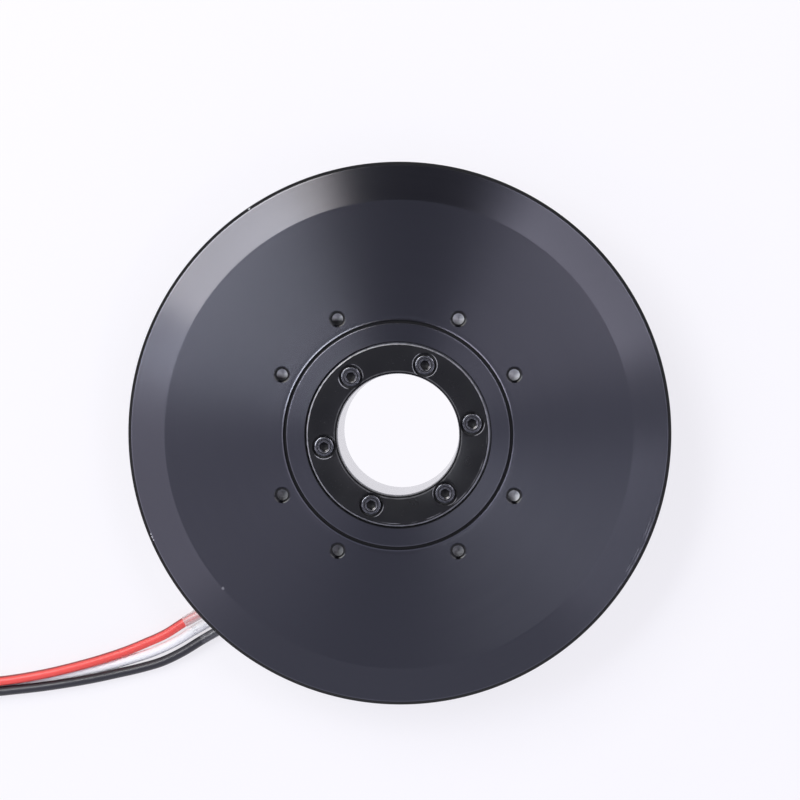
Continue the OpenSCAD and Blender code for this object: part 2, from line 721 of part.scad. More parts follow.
// A round tube of eight sides along a list of points, with flat ends
module tube(points, r) {
    sides = 8;
    last = len(points) - 1;
    function unit(v) = v / norm(v);
    function along(i) =
        i == 0 ? unit(points[1] - points[0])
        : i == last ? [-1, 0, 0]
        : unit(unit(points[i + 1] - points[i]) + unit(points[i] - points[i - 1]));
    function section(i) =
        let (t = along(i), side = unit(cross([0, 0, 1], t)), up = cross(t, side))
        [for (k = [0 : sides - 1]) points[i] + r * (cos(k * 360 / sides) * side + sin(k * 360 / sides) * up)];
    rings = [for (i = [0 : last]) each section(i)];
    start = [[for (k = [0 : sides - 1]) k]];
    end = [[for (k = [sides - 1 : -1 : 0]) last * sides + k]];
    walls = [for (i = [0 : last - 1], k = [0 : sides - 1])
        [i * sides + (k + 1) % sides, i * sides + k, (i + 1) * sides + k, (i + 1) * sides + (k + 1) % sides]];
    polyhedron(points = rings, faces = concat(start, end, walls));
}

// The straight stretch of a lead through the outlet, then its route
function whole_route(row, route) = concat(
    [for (u = [lead_start, lead_start + 8, sleeve_start, 73, 80, sleeve_ends[row + 1]])
        outlet_point(u, row, lead_z)],
    route
);

module lead_red() color([0.85, 0.2, 0.18]) tube(whole_route(-1, red_route), lead_r);
module lead_white() color([0.93, 0.93, 0.93]) tube(whole_route(0, white_route), lead_r);
module lead_black() color([0.12, 0.12, 0.13]) tube(whole_route(1, black_route), lead_r);

// The outer shape of the wound leads, open where the bundle comes in and where its bare tips lie
module lead_coil() color([0.5, 0.3, 0.3])
    translate([coil_c[0], coil_c[1], 0]) difference() {
        ring(bundle_end_r - bundle_half, bundle_r + bundle_half, 0, bundle_h);
        translate([0, -bundle_r - bundle_half - over, -over])
            cube([bundle_r, 2 * bundle_half + over, bundle_h + 2 * over]);
        translate([-tip_len - tip_clear, -bundle_end_r - bundle_half, -over])
            cube([tip_len + tip_clear, 2 * bundle_half + over, bundle_h + 2 * over]);
    }

module lead_tips() color([0.8, 0.8, 0.78])
    for (tip = [[-lead_side, high_z], [0, low_z], [lead_side, high_z]])
        translate([coil_c[0], coil_c[1] - bundle_end_r - tip[0], tip[1]]) rotate([0, -90, 0])
            cylinder(r = tip_wire_r, h = tip_len, $fn = 24);

base_plate();
hollow_shaft();
shaft_screws();
hub_ring();
hub_screws();
stator_core();
front_insulator();
rear_insulator();
coils_phase_a();
coils_phase_b();
coils_phase_c();
phase_wires();
star_wire();
lead_splices();
front_inner_race();
rear_inner_race();
inner_spacer();
lead_grommet();
sleeve_red();
sleeve_white();
sleeve_black();
lead_red();
lead_white();
lead_black();
lead_coil();
lead_tips();
rotor_bell();
back_iron();
magnets_north();
magnets_south();
front_outer_race();
rear_outer_race();
outer_spacer();
front_shields();
rear_shields();
snap_ring();
front_balls();
front_cage();
rear_balls();
rear_cage();
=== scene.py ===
"""Hollow-shaft brushless servo motor: the finish of every surface, its three leads and a plain studio."""
import math

import bpy
import numpy as np
from bpy.props import FloatProperty, FloatVectorProperty, IntProperty, PointerProperty
from mathutils import Matrix, Vector


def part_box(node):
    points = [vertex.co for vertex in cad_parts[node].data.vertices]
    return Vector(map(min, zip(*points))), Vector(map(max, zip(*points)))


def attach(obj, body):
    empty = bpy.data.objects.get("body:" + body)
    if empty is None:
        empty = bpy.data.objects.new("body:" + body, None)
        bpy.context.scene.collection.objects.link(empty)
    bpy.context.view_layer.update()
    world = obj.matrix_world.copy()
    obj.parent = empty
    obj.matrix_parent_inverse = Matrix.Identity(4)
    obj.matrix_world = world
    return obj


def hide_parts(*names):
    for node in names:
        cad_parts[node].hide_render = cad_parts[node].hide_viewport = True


bl_info = {
    "name": "Brushless Servo Motor",
    "version": (1, 0, 0),
    "blender": (4, 5, 0),
    "location": "View3D > Sidebar > Motor",
    "description": "Finishes, leads and studio for a hollow-shaft brushless servo motor",
    "category": "Object",
}

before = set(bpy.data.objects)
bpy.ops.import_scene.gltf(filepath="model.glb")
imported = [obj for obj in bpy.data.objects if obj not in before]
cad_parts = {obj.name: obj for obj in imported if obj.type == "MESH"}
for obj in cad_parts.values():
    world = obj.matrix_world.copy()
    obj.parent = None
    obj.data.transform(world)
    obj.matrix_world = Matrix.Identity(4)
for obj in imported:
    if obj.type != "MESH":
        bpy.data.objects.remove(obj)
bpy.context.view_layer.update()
MM = 0.001
TURN = 2 * math.pi

# Radii and heights that the frame gives
(_, _, BELL_LOW), (BELL_R, _, FACE_Z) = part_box("rotor_bell")
(_, _, HUB_LOW), (HUB_R, _, HUB_TOP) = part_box("hub_ring")
(_, _, SCREW_LOW), (_, _, SCREW_TOP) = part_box("hub_screws")
BORE_R = 18 * MM


def length(name, text, millimetres):
    """A size that a user can change."""
    return FloatProperty(name=name, description=text, default=millimetres * MM, unit="LENGTH", precision=5)


def colour(name, text, default):
    """A colour that a user can change."""
    return FloatVectorProperty(name=name, description=text, default=default, subtype="COLOR", size=3,
                               min=0, max=1)


def point(name, text, *millimetres):
    """A place that a user can change."""
    return FloatVectorProperty(name=name, description=text, default=[v * MM for v in millimetres], size=3,
                               subtype="TRANSLATION", precision=5)


def power(name, text, watts):
    """The power of a lamp that a user can change."""
    return FloatProperty(name=name, description=text, default=watts, unit="POWER")


class MotorSizes(bpy.types.PropertyGroup):
    """Sizes of the pieces that this script makes itself."""
    bevel_w: length("Bevel width", "Width of the bevelled ring round the flat face", 11.5)
    bevel_drop: length("Bevel drop", "How far the bevel falls towards the rim", 3.2)
    rim_c: length("Rim chamfer", "Chamfer between the bevel and the side wall", 0.9)
    groove_r: length("Groove radius", "Middle radius of the turned groove", 33.41)
    groove_w: length("Groove width", "Width of the turned groove between its walls", 0.8)
    groove_depth: length("Groove depth", "Depth of the turned groove", 0.8)
    load_r: length("Load hole circle", "Radius of the circle that the load holes lie on", 38.5)
    load_depth: length("Load hole depth", "Depth of a load hole down to its drilled cone", 3)
    tap_r: length("Thread core radius", "Radius of the load holes at the thread's crests", 1.65)
    tap_pitch: length("Thread pitch", "Pitch of the load holes' thread", 0.7)
    drill_tip: length("Drill tip", "Height of the cone at the bottom of a load hole", 0.9)
    edge_round: length("Edge rounding", "Rounding of the groove's edges", 0.38)
    hub_screw_r: length("Hub screw circle", "Radius of the circle that the hub screws lie on", 22.1)
    hub_screw_turn: FloatProperty(name="Hub screw turn", description="Angle of the first hub screw",
                                  default=math.radians(9), subtype="ANGLE")
    head_r: length("Screw head radius", "Radius of a hub screw's head", 2.85)
    sink_r: length("Counterbore radius", "Radius of a hub screw's counterbore", 3.55)
    sink_c: length("Counterbore chamfer", "Chamfer round a counterbore's mouth", 0.2)
    hub_bore_r: length("Hub bore radius", "Radius of the hub ring's bore", 18.2)
    hub_mouth: length("Hub mouth chamfer", "Chamfer at the mouth of the hub ring's bore", 0.5)
    hub_cut_w: length("Hub cut width", "Width of the bright chamfer round the hub ring", 0.4)
    hub_cut_h: length("Hub cut height", "Height of the bright chamfer round the hub ring", 0.25)
    lead_r: length("Lead radius", "Radius of a lead over its insulation", 1.5)
    sleeve_wall: length("Sleeve wall", "Thickness of the clear sleeves", 0.3)
    steps: IntProperty(name="Steps round the bell", description="Columns of the bell's mesh", default=720,
                       min=144)


class MotorColours(bpy.types.PropertyGroup):
    """Colours of the motor's finishes."""
    anodised: colour("Anodised black", "Black of the anodised aluminium", (0.009, 0.009, 0.012))
    sheen: colour("Anodised sheen", "Tint of the anodised surfaces' reflections", (0.88, 0.88, 1.0))
    # Painted shade: a black darker than the anodise, for grooves, countersinks, chamfers, bores and sockets.
    recess_shade: colour("Recess black", "Black of grooves, countersinks and the rim's chamfer",
                   (0.003, 0.003, 0.004))
    bright: colour("Bright aluminium", "Bored and turned bare aluminium", (0.66, 0.66, 0.68))
    oxide: colour("Black oxide", "Blackened steel of the screws", (0.068, 0.068, 0.076))
    worn: colour("Worn steel", "Steel where its black is rubbed off", (0.2, 0.2, 0.215))
    red: colour("Red lead", "Red silicone", (0.93, 0.10, 0.085))
    white: colour("White lead", "White silicone", (0.96, 0.96, 0.96))
    black: colour("Black lead", "Black silicone", (0.034, 0.033, 0.04))
    copper: colour("Enamelled copper", "Winding wire under its enamel", (0.62, 0.24, 0.09))
    floor: colour("Floor", "Plain pale floor", (0.96, 0.95, 0.965))


class StudioSettings(bpy.types.PropertyGroup):
    """Camera and lamps."""
    camera_place: point("Camera place", "Where the camera stands", 21.08, 28.3, 570.9)
    camera_aim: point("Camera aim", "The point at the middle of the picture", 0.65, 10.35, 34)
    lens: FloatProperty(name="Lens", description="Focal length", default=82.34, unit="CAMERA")
    key_power: power("Key power", "Power of the lamp at the upper left", 4.55)
    top_power: power("Top power", "Power of the lamp above the key", 5.45)
    side_power: power("Side power", "Power of the lamp at the upper right", 2.9)
    right_power: power("Right power", "Power of the lamp at the lower right", 1.05)
    left_power: power("Left power", "Power of the lamp at the left", 1.9)
    walls: colour("Walls", "Light from the studio's walls", (0.73, 0.73, 0.8))
    ceiling: colour("Ceiling", "Light from overhead", (0.315, 0.325, 0.41))


def sizes():
    return bpy.context.scene.motor_sizes


def colours():
    return bpy.context.scene.motor_colours


def studio():
    return bpy.context.scene.motor_studio


# Surfaces as arrays


def at(angle, radius=1.0, height=0.0):
    """The point with that angle in degrees, radius and height about the motor's axis."""
    a = math.radians(angle)
    return radius * math.cos(a), radius * math.sin(a), height


def grid_quads(rows, columns, close_rows=False):
    """Corner numbers of the quads between neighbouring points of a grid, stored row after row, whose rows
    run all the way round."""
    row, column = np.indices((rows if close_rows else rows - 1, columns)).reshape(2, -1)
    above = (row + 1) % rows
    beside = (column + 1) % columns
    return np.stack([row * columns + column, row * columns + beside,
                     above * columns + beside, above * columns + column], axis=1)


def turned(radius, height, angle):
    """Points of a surface of revolution: x = r cos a, y = r sin a, z = h. Each row has one height, and one
    radius or one for each angle."""
    radius = np.asarray(radius, float)
    if radius.ndim == 1:
        radius = radius[:, None] * np.ones(len(angle))
    height = np.broadcast_to(np.asarray(height, float)[:, None], radius.shape)
    return np.stack([radius * np.cos(angle), radius * np.sin(angle), height], axis=-1).reshape(-1, 3)


def full_turn(steps):
    """Angles of one turn in equal steps, without the last, which is the first again."""
    return np.linspace(0, TURN, steps, endpoint=False)


def fan(centre, ring, flip=False):
    """Triangles from a ring of points to the point that closes it."""
    ahead = np.roll(ring, -1)
    middle = np.full(len(ring), centre)
    return np.stack([middle, ahead, ring] if flip else [middle, ring, ahead], axis=1)


def capped(rows, steps):
    """Faces of rows of points whose first and last row each close in one point. Those two points come
    after the rows."""
    last = rows * steps
    return [grid_quads(rows, steps), fan(last, np.arange(steps), flip=True),
            fan(last + 1, np.arange(last - steps, last))]


def outward(points, faces):
    """The faces, all turned round if the closed surface's volume, the sum of a.(b x c)/6 over its
    triangles, is negative."""
    volume = 0.0
    for group in faces:
        a = points[group[:, 0]]
        for k in range(1, group.shape[1] - 1):
            volume += np.einsum("ij,ij->i", a, np.cross(points[group[:, k]], points[group[:, k + 1]])).sum()
    return [group[:, ::-1] for group in faces] if volume < 0 else faces


def added(name, data):
    """A new object in the scene."""
    made = bpy.data.objects.new(name, data)
    bpy.context.scene.collection.objects.link(made)
    return made


def smooth(mesh, sharp):
    """Smooth shading, with the edges past that angle in degrees left sharp."""
    mesh.polygons.foreach_set("use_smooth", np.ones(len(mesh.polygons), bool))
    mesh.set_sharp_from_angle(angle=math.radians(sharp))


def piece(name, points, faces, finishes, body, sharp=30, face_finish=None):
    """A closed piece that rides on a body. Faces is a list of arrays of triangles and quads, and
    face_finish each face's number in finishes."""
    faces = outward(points, faces)
    mesh = bpy.data.meshes.new(name)
    mesh.from_pydata(points.tolist(), [], [row for group in faces for row in group.tolist()])
    for finish in finishes:
        mesh.materials.append(finish)
    if face_finish is not None:
        mesh.polygons.foreach_set("material_index", np.asarray(face_finish, np.int32))
    smooth(mesh, sharp)
    mesh.update()
    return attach(added(name, mesh), body)


def point_value(made, name, values):
    """Gives a piece's mesh a value at each of its points, for its finish to read."""
    attribute = made.data.attributes.new(name, "FLOAT", "POINT")
    attribute.data.foreach_set("value", np.asarray(values, np.float32))


def smooth_route(points, spacing):
    """A Catmull-Rom curve through the points, resampled at equal spacing: between two points it is
    the cubic whose slope at each is half the step between that point's neighbours."""
    p = np.asarray(points, float)
    p = np.vstack([2 * p[0] - p[1], p, 2 * p[-1] - p[-2]])
    t = np.linspace(0, 1, 16, endpoint=False)[None, :, None]
    a, b, c, d = (p[k:len(p) - 3 + k, None, :] for k in range(4))
    fine = 0.5 * (2 * b + (c - a) * t + (2 * a - 5 * b + 4 * c - d) * t ** 2
                  + (3 * b - 3 * c + d - a) * t ** 3)
    fine = np.vstack([fine.reshape(-1, 3), p[-2]])
    return even(fine, spacing)


def even(path, spacing):
    """The same path with points at equal distances along it."""
    along = np.concatenate([[0], np.cumsum(np.linalg.norm(np.diff(path, axis=0), axis=1))])
    at = np.linspace(0, along[-1], max(2, round(along[-1] / spacing)))
    return np.stack([np.interp(at, along, path[:, k]) for k in range(3)], axis=1)


def across(path):
    """Two unit vectors across a path that stays near level: one level, one upwards."""
    ahead = np.gradient(path, axis=0)
    ahead /= np.linalg.norm(ahead, axis=1, keepdims=True)
    side = np.cross([0, 0, 1.0], ahead)
    side /= np.linalg.norm(side, axis=1, keepdims=True)
    return side, np.cross(ahead, side)


def circles(path, radius, sides):
    """A circle across each point of a path, side cos a + up sin a, times the radius there."""
    side, up = across(path)
    a = full_turn(sides)[:, None]
    radius = np.broadcast_to(radius, len(path))[:, None, None]
    return path[:, None, :] + radius * (side[:, None, :] * np.cos(a) + up[:, None, :] * np.sin(a))


# Finishes


class Nodes:
    """A node tree, and short calls that add nodes to it."""

    def __init__(self, tree):
        self.tree = tree

    def set(self, node, socket, value):
        """A socket's own value, or a link where the value is another node's output."""
        if isinstance(value, bpy.types.NodeSocket):
            self.tree.links.new(value, node.inputs[socket])
        else:
            node.inputs[socket].default_value = value

    def node(self, kind, settings=(), **sockets):
        """A new node. Sockets go by their names, with _ for a space, or by n and their number."""
        made = self.tree.nodes.new(kind)
        for key, value in dict(settings).items():
            setattr(made, key, value)
        for socket, value in sockets.items():
            self.set(made, int(socket[1:]) if socket[1:].isdigit() else socket.replace("_", " "), value)
        return made

    def math(self, operation, first, second=0.0):
        return self.node("ShaderNodeMath", {"operation": operation}, n0=first, n1=second).outputs[0]

    def largest(self, values):
        """The largest of several values that are 0 or more."""
        total = 0.0
        for value in values:
            total = self.math("MAXIMUM", total, value)
        return total

    def vector(self, operation, first, second=(0, 0, 0)):
        made = self.node("ShaderNodeVectorMath", {"operation": operation}, n0=first, n1=second)
        return made.outputs["Value" if operation in ("LENGTH", "DOT_PRODUCT", "DISTANCE") else "Vector"]

    def split(self, vector):
        """A vector's x, y and z."""
        return self.node("ShaderNodeSeparateXYZ", Vector=vector).outputs

    def combine(self, **axes):
        return self.node("ShaderNodeCombineXYZ", **axes).outputs[0]

    def level(self, vector):
        """The length and the direction of a vector's level part."""
        x, y, _ = self.split(vector)
        flat = self.combine(X=x, Y=y)
        return self.vector("LENGTH", flat), self.vector("NORMALIZE", flat)

    def facing(self, out, angle, reach, full):
        """1 where a level direction lies within full degrees of the angle, and 0 past reach degrees."""
        near = self.vector("DOT_PRODUCT", out, at(angle))
        return self.spread(near, math.cos(math.radians(reach)), math.cos(math.radians(full)))

    def noise(self, where, scale, detail=2.0, roughness=0.5):
        return self.node("ShaderNodeTexNoise", Vector=where, Scale=scale, Detail=detail,
                         Roughness=roughness).outputs["Fac"]

    def spread(self, value, low, high, to_low=0.0, to_high=1.0):
        """The value, taken from low..high to to_low..to_high, and kept inside them."""
        made = self.node("ShaderNodeMapRange", {"interpolation_type": "SMOOTHSTEP"}, Value=value,
                         From_Min=low, From_Max=high, To_Min=to_low, To_Max=to_high)
        return made.outputs[0]

    def blend(self, factor, first, second):
        """A colour between the first and the second, by a factor from 0 to 1."""
        first, second = (v if isinstance(v, bpy.types.NodeSocket) else (*v, 1) for v in (first, second))
        return self.node("ShaderNodeMix", {"data_type": "RGBA"}, n0=factor, n6=first, n7=second).outputs[2]


class Finish(Nodes):
    """A material with a Principled surface. Scales are in features per metre."""

    def __init__(self, name, base, roughness, **sockets):
        self.material = bpy.data.materials.new(name)
        self.material.use_nodes = True
        super().__init__(self.material.node_tree)
        self.surface = self.tree.nodes["Principled BSDF"]
        self.give(Base_Color=(*base, 1), Roughness=roughness, **sockets)
        self.coordinates = self.node("ShaderNodeTexCoord")
        self.place = self.coordinates.outputs["Object"]

    def give(self, **sockets):
        """Sets the surface's sockets."""
        for socket, value in sockets.items():
            self.set(self.surface, socket.replace("_", " "), value)

    def cloud(self, scale, detail=2, roughness=0.5):
        """Noise over the piece."""
        return self.noise(self.place, scale, detail, roughness)

    def value(self, name):
        """The mesh's own value at each point."""
        return self.node("ShaderNodeAttribute", {"attribute_name": name}).outputs["Fac"]

    def bump(self, height, distance, strength=1.0):
        made = self.node("ShaderNodeBump", Height=height, Distance=distance, Strength=strength)
        self.give(Normal=made.outputs[0])

    def grain(self, scale, depth, detail=2, strength=1.0):
        """A fine grain of that depth in the surface."""
        self.bump(self.cloud(scale, detail), depth, strength)

    def about_axis(self):
        """Distance from the motor's axis, and the unit vector outwards from it."""
        return self.level(self.place)

    def turning_marks(self, fine):
        """Streaks that run round the axis: noise that changes fast with the distance from the axis and
        the height, and slowly round them."""
        slow = 1.5
        radius, out = self.about_axis()
        x, y, _ = self.split(out)
        where = self.combine(
            X=self.math("MULTIPLY", self.math("ADD", radius, self.split(self.place)[2]), fine),
            Y=self.math("MULTIPLY", x, slow),
            Z=self.math("MULTIPLY", y, slow),
        )
        return self.noise(where, 1.0, detail=3.0, roughness=0.6)

    def brushed_round(self, amount):
        """Stretches the highlights across the turning marks: the tangent is the surface's own direction
        at right angles to them."""
        _, out = self.about_axis()
        round_axis = self.vector("CROSS_PRODUCT", (0, 0, 1), out)
        steep = self.vector("CROSS_PRODUCT", round_axis, self.coordinates.outputs["Normal"])
        world = self.node("ShaderNodeVectorTransform",
                          {"vector_type": "VECTOR", "convert_from": "OBJECT", "convert_to": "WORLD"},
                          Vector=steep).outputs[0]
        self.give(Anisotropic=amount, Tangent=world)

    def marks(self, places):
        """1 inside small worn places, each (angle, radius, height, size) about the axis, with a ragged
        edge."""
        ragged = self.math("MULTIPLY", self.cloud(2500), 0.9)
        spots = []
        for angle, radius, height, size in places:
            near = self.vector("DISTANCE", self.place, at(angle, radius, height))
            spots.append(self.spread(self.math("ADD", self.math("DIVIDE", near, size), ragged), 1.5, 1.1))
        return self.largest(spots)

    def arc(self, radius, width, angle, reach):
        """1 along a thin broken line round the axis, which reaches that many degrees both ways from the
        angle."""
        distance, out = self.about_axis()
        off = self.math("ABSOLUTE", self.math("SUBTRACT", distance, radius))
        line = self.spread(off, width, width * 0.5)
        ends = self.facing(out, angle, reach, reach * 0.7)
        broken = self.spread(self.cloud(260), 0.4, 0.62)
        return self.math("MULTIPLY", line, self.math("MULTIPLY", ends, broken))

    def wear(self, amount, base, bare):
        """The bare colour shows through the base colour by that amount."""
        self.give(Base_Color=self.blend(amount, base, bare))


def anodised_turned(name, ior, marks):
    """Black anodised aluminium with concentric turning marks, and bare metal where it is worn."""
    c = colours()
    made = Finish(name, c.anodised, 0.25, IOR=ior, Specular_Tint=(*c.sheen, 1))
    made.brushed_round(0.84)
    streaks = made.turning_marks(5200)
    made.give(Roughness=made.spread(streaks, 0.2, 0.8, 0.23, 0.27))
    made.bump(streaks, 0.004 * MM)
    arcs = [made.arc(*arc) for arc in FACE_ARCS]
    made.wear(made.largest([*arcs, made.marks(marks)]), c.anodised, (0.16, 0.16, 0.17))
    return made.material


def recess_black(marks):
    """Painted shade: a dull black, darker than the anodise, for grooves, countersinks, the rim's chamfer,
    bores and sockets, bare where it is worn.
    """
    c = colours()
    made = Finish("recess_black", c.recess_shade, 0.45, IOR=1.3)
    made.grain(3200, 0.003 * MM)
    made.wear(made.marks(marks), c.recess_shade, (0.8, 0.8, 0.82))
    return made.material


def countersink_black():
    """Smooth black of the load holes' mouths, darker than the anodise as painted shade, which catches the
    lamps.
    """
    made = Finish("countersink_black", colours().recess_shade, 0.12, IOR=1.44)
    made.grain(1600, 0.001 * MM)
    return made.material


def worn_black():
    """The thin line where the black is worn from an edge."""
    made = Finish("worn_black", colours().recess_shade, 0.5, IOR=1.5)
    made.wear(made.spread(made.cloud(500, 3), 0.25, 0.7), (0.035, 0.035, 0.037), (0.085, 0.085, 0.09))
    made.grain(3200, 0.003 * MM)
    return made.material


def cut_edge():
    """A bright chamfer where the black is worn away, as far as the mesh's own value says."""
    bright = (0.8, 0.8, 0.84)
    made = Finish("cut_edge", bright, 0.5, Metallic=1.0)
    patchy = made.spread(made.cloud(420, 3), 0.2, 0.6, 0.5, 1.0)
    made.wear(made.math("MULTIPLY", patchy, made.value("worn")), (0.012, 0.012, 0.014), bright)
    made.grain(2600, 0.004 * MM)
    return made.material


def tapped_bottom():
    """The drilled bottom of a load hole, with painted light and shade: near white on one side and black
    towards the side that the mesh's own value marks, in random patches.
    """
    made = Finish("drilled_aluminium", colours().bright, 0.55)
    # Painted light and shade: the mesh's value, with noise, takes the bottom from near white to black.
    patchy = made.math("ADD", made.value("grime"), made.math("MULTIPLY", made.cloud(1500, 3), 0.3))
    made.wear(made.spread(patchy, 0.1, 1.1), (0.9, 0.9, 0.92), (0.006, 0.006, 0.008))
    made.grain(3000, 0.004 * MM)
    return made.material


def anodised_gloss():
    """The hub ring's smoother black, with dust and a scuffed line at its lower right."""
    base = (0.005, 0.005, 0.005)
    made = Finish("anodised_gloss", base, 0.3, IOR=1.46, Specular_Tint=(0.96, 0.95, 1, 1))
    grains = made.spread(made.cloud(2300, 2, 0.7), 0.66, 0.74)
    patches = made.spread(made.cloud(170, 3, 0.6), 0.5, 0.62)
    dust = made.math("MULTIPLY", made.math("MULTIPLY", grains, patches), 0.7)
    made.wear(made.largest([dust, made.arc(*HUB_SCUFF)]), base, (0.14, 0.14, 0.15))
    made.give(Roughness=made.spread(made.cloud(90), 0.3, 0.7, 0.27, 0.33))
    return made.material


def anodised_plain():
    """The base's black anodise, milled and blasted."""
    made = Finish("anodised_plain", colours().anodised, 0.45, IOR=1.6)
    made.grain(3000, 0.004 * MM, 3)
    return made.material


def metal(name, base, roughness, fine, brushed=0.0):
    """Bare turned metal, with marks round its axis."""
    made = Finish(name, base, roughness, Metallic=1.0)
    if brushed:
        made.brushed_round(brushed)
    marks = made.turning_marks(fine)
    made.give(Roughness=made.spread(marks, 0.2, 0.8, roughness * 0.8, roughness * 1.25))
    made.bump(marks, 0.004 * MM)
    return made.material


def black_oxide():
    """Blackened steel, rubbed on its high places."""
    base = colours().oxide
    made = Finish("black_oxide", base, 0.36, Metallic=0.85)
    cloud = made.cloud(900, 4, 0.65)
    made.wear(made.spread(cloud, 0.35, 0.72), base, [2.2 * v for v in base])
    made.give(Roughness=made.spread(cloud, 0.3, 0.7, 0.42, 0.3))
    made.grain(5200, 0.006 * MM, 3)
    return made.material


def worn_steel():
    """Edges of the screws where their black is rubbed off."""
    c = colours()
    made = Finish("worn_steel", c.worn, 0.26, Metallic=1.0)
    made.wear(made.spread(made.cloud(1300, 3), 0.3, 0.66), c.oxide, c.worn)
    made.grain(4200, 0.004 * MM)
    return made.material


def silicone(name, base, roughness, painted_shade):
    """Smooth silicone insulation with a soft shine, and painted shade that darkens one side as the mesh's
    own value says.
    """
    made = Finish(name, base, roughness)
    made.wear(made.spread(made.value("side"), 0.62, 0.92, 0.0, painted_shade), base, [0.12 * v for v in base])
    made.give(Roughness=made.spread(made.cloud(260, 3), 0.3, 0.7, roughness * 0.9, roughness * 1.1))
    made.grain(1500, 0.02 * MM, 3, 0.5)
    return made.material


def clear_plastic(name, tint, alpha):
    """Clear shrunk sleeve, slightly milky and streaked along the leads."""
    made = Finish(name, tint, 0.2, IOR=1.5)
    along = made.vector("DOT_PRODUCT", made.place, at(OUTLET_TURN))
    aside = made.vector("DOT_PRODUCT", made.place, at(OUTLET_TURN + 90))
    where = made.combine(X=made.math("MULTIPLY", along, 60), Y=made.math("MULTIPLY", aside, 1300))
    made.give(Alpha=made.spread(made.noise(where, 1.0), 0.3, 0.7, alpha * 0.6, alpha * 1.5))
    made.grain(900, 0.03 * MM, strength=0.6)
    return made.material


def plain(name, base, roughness, scale, depth, metallic=0.0):
    """A moulded, cast or plated surface with a fine grain."""
    made = Finish(name, base, roughness, Metallic=metallic)
    cloud = made.cloud(scale, 3)
    made.give(Roughness=made.spread(cloud, 0.3, 0.7, roughness * 0.85, roughness * 1.15))
    made.bump(cloud, depth)
    return made.material


def laminated():
    """A stack of steel sheets with dark joints."""
    steel, sheet = (0.42, 0.43, 0.45), 0.35 * MM
    made = Finish("lamination_steel", steel, 0.4, Metallic=1.0)
    joint = made.math("PINGPONG", made.split(made.place)[2], sheet / 2)
    made.wear(made.spread(joint, 0, 0.05 * MM), (0.12, 0.12, 0.12), steel)
    made.bump(joint, 0.05 * MM)
    return made.material


def wound():
    """Turns of enamelled wire side by side, as rings about the axis."""
    c, wire = colours(), 0.5 * MM
    made = Finish("copper_wire", c.copper, 0.3, Metallic=0.75, Coat_Weight=0.6, Coat_Roughness=0.15)
    ridge = made.math("PINGPONG", made.about_axis()[0], wire / 2)
    made.wear(made.spread(ridge, 0, 0.16 * MM), (0.2, 0.06, 0.02), c.copper)
    made.bump(ridge, 0.2 * MM)
    return made.material


# Leads


# The outlet: its direction in degrees, how far its middle lies off the axis, and the leads' pitch and
# height in it
OUTLET_TURN = 210
OUTLET_OFF = 22 * MM
LEAD_PITCH = 3.8 * MM
LEAD_Z = 3.5 * MM

# Distances along the outlet: where the leads pass the rim, where the sleeves start and end, and the points
# that every lead goes through
SLEEVE_START = 66 * MM
SLEEVE_ENDS = {"red": 89 * MM, "white": 88 * MM, "black": 87 * MM}
OUTLET_STOPS = [52 * MM, 60 * MM, SLEEVE_START, 73 * MM, 80 * MM]

# Roughness of each lead and how much painted shade darkens its side towards +Y, and tint and opacity of its
# sleeve
LEAD_LOOKS = {"red": (0.35, 0.8), "white": (0.5, 0.0), "black": (0.33, 0.85)}
SLEEVE_LOOKS = {
    "red": ((1.0, 0.86, 0.84), 0.4),
    "white": ((0.97, 0.97, 0.98), 0.12),
    "black": ((0.8, 0.8, 0.84), 0.05),
}

# Each lead's row in the outlet, and its route on the floor from there to the coil
ROWS = {"red": -1, "white": 0, "black": 1}
ROUTES_MM = {
    "red": [
        (-74, -64.1, 3.3), (-80, -66.9, 3.1), (-87, -69.8, 3), (-94.5, -72.3, 3.3), (-102, -74.4, 3.7),
        (-109.5, -76.25, 3.95), (-117, -77.8, 4.05), (-125, -79.05, 4.1), (-133, -79.8, 4.1),
        (-141, -80.2, 4.1), (-148, -80.25, 4.1), (-155, -80.25, 4.1),
    ],
    "white": [
        (-71, -66.6, 3), (-78, -69.9, 2.3), (-85.5, -72.5, 1.8), (-93, -74.7, 1.5), (-100.5, -76.5, 1.5),
        (-108, -78.05, 1.5), (-116, -79.4, 1.5), (-124.5, -80.6, 1.5), (-133, -81.4, 1.5),
        (-141, -81.75, 1.5), (-148, -81.8, 1.5), (-155, -81.8, 1.5),
    ],
    "black": [
        (-68.5, -69.6, 3.3), (-75, -72.8, 3.1), (-82, -74.95, 3), (-89.5, -76.7, 3.1), (-97, -78.3, 3.45),
        (-105, -79.7, 3.8), (-113, -80.9, 4), (-121, -81.85, 4.05), (-130, -82.8, 4.1),
        (-138, -83.25, 4.1), (-146.5, -83.35, 4.1), (-155, -83.35, 4.1),
    ],
}

# The wound length, and how far the three leads lie apart in it
COIL_CENTRE = np.array([-155 * MM, -58.75 * MM])
COIL_R = 23.05 * MM
COIL_PITCH = 6.5 * MM
COIL_TURNS = 2
COIL_STEPS = 24
BUNDLE_SIDE = 1.55 * MM

# Meshes of the leads and sleeves, and the tips' strands
LEAD_SPACING = 0.75 * MM
LEAD_SIDES = 36
SLEEVE_SPACING = 0.6 * MM
SLEEVE_SIDES = 40
TIP_R = 0.75 * MM
TIP_LENGTH = 4 * MM
TIP_STRAIGHT = 0.88
STRANDS = 7
STRAND_TWIST = 600


def outlet_point(u, row):
    """A point u outwards along the outlet, in the row of one lead."""
    aside = at(OUTLET_TURN + 90, OUTLET_OFF + row * LEAD_PITCH, LEAD_Z)
    return tuple(a + b for a, b in zip(at(OUTLET_TURN, u), aside))


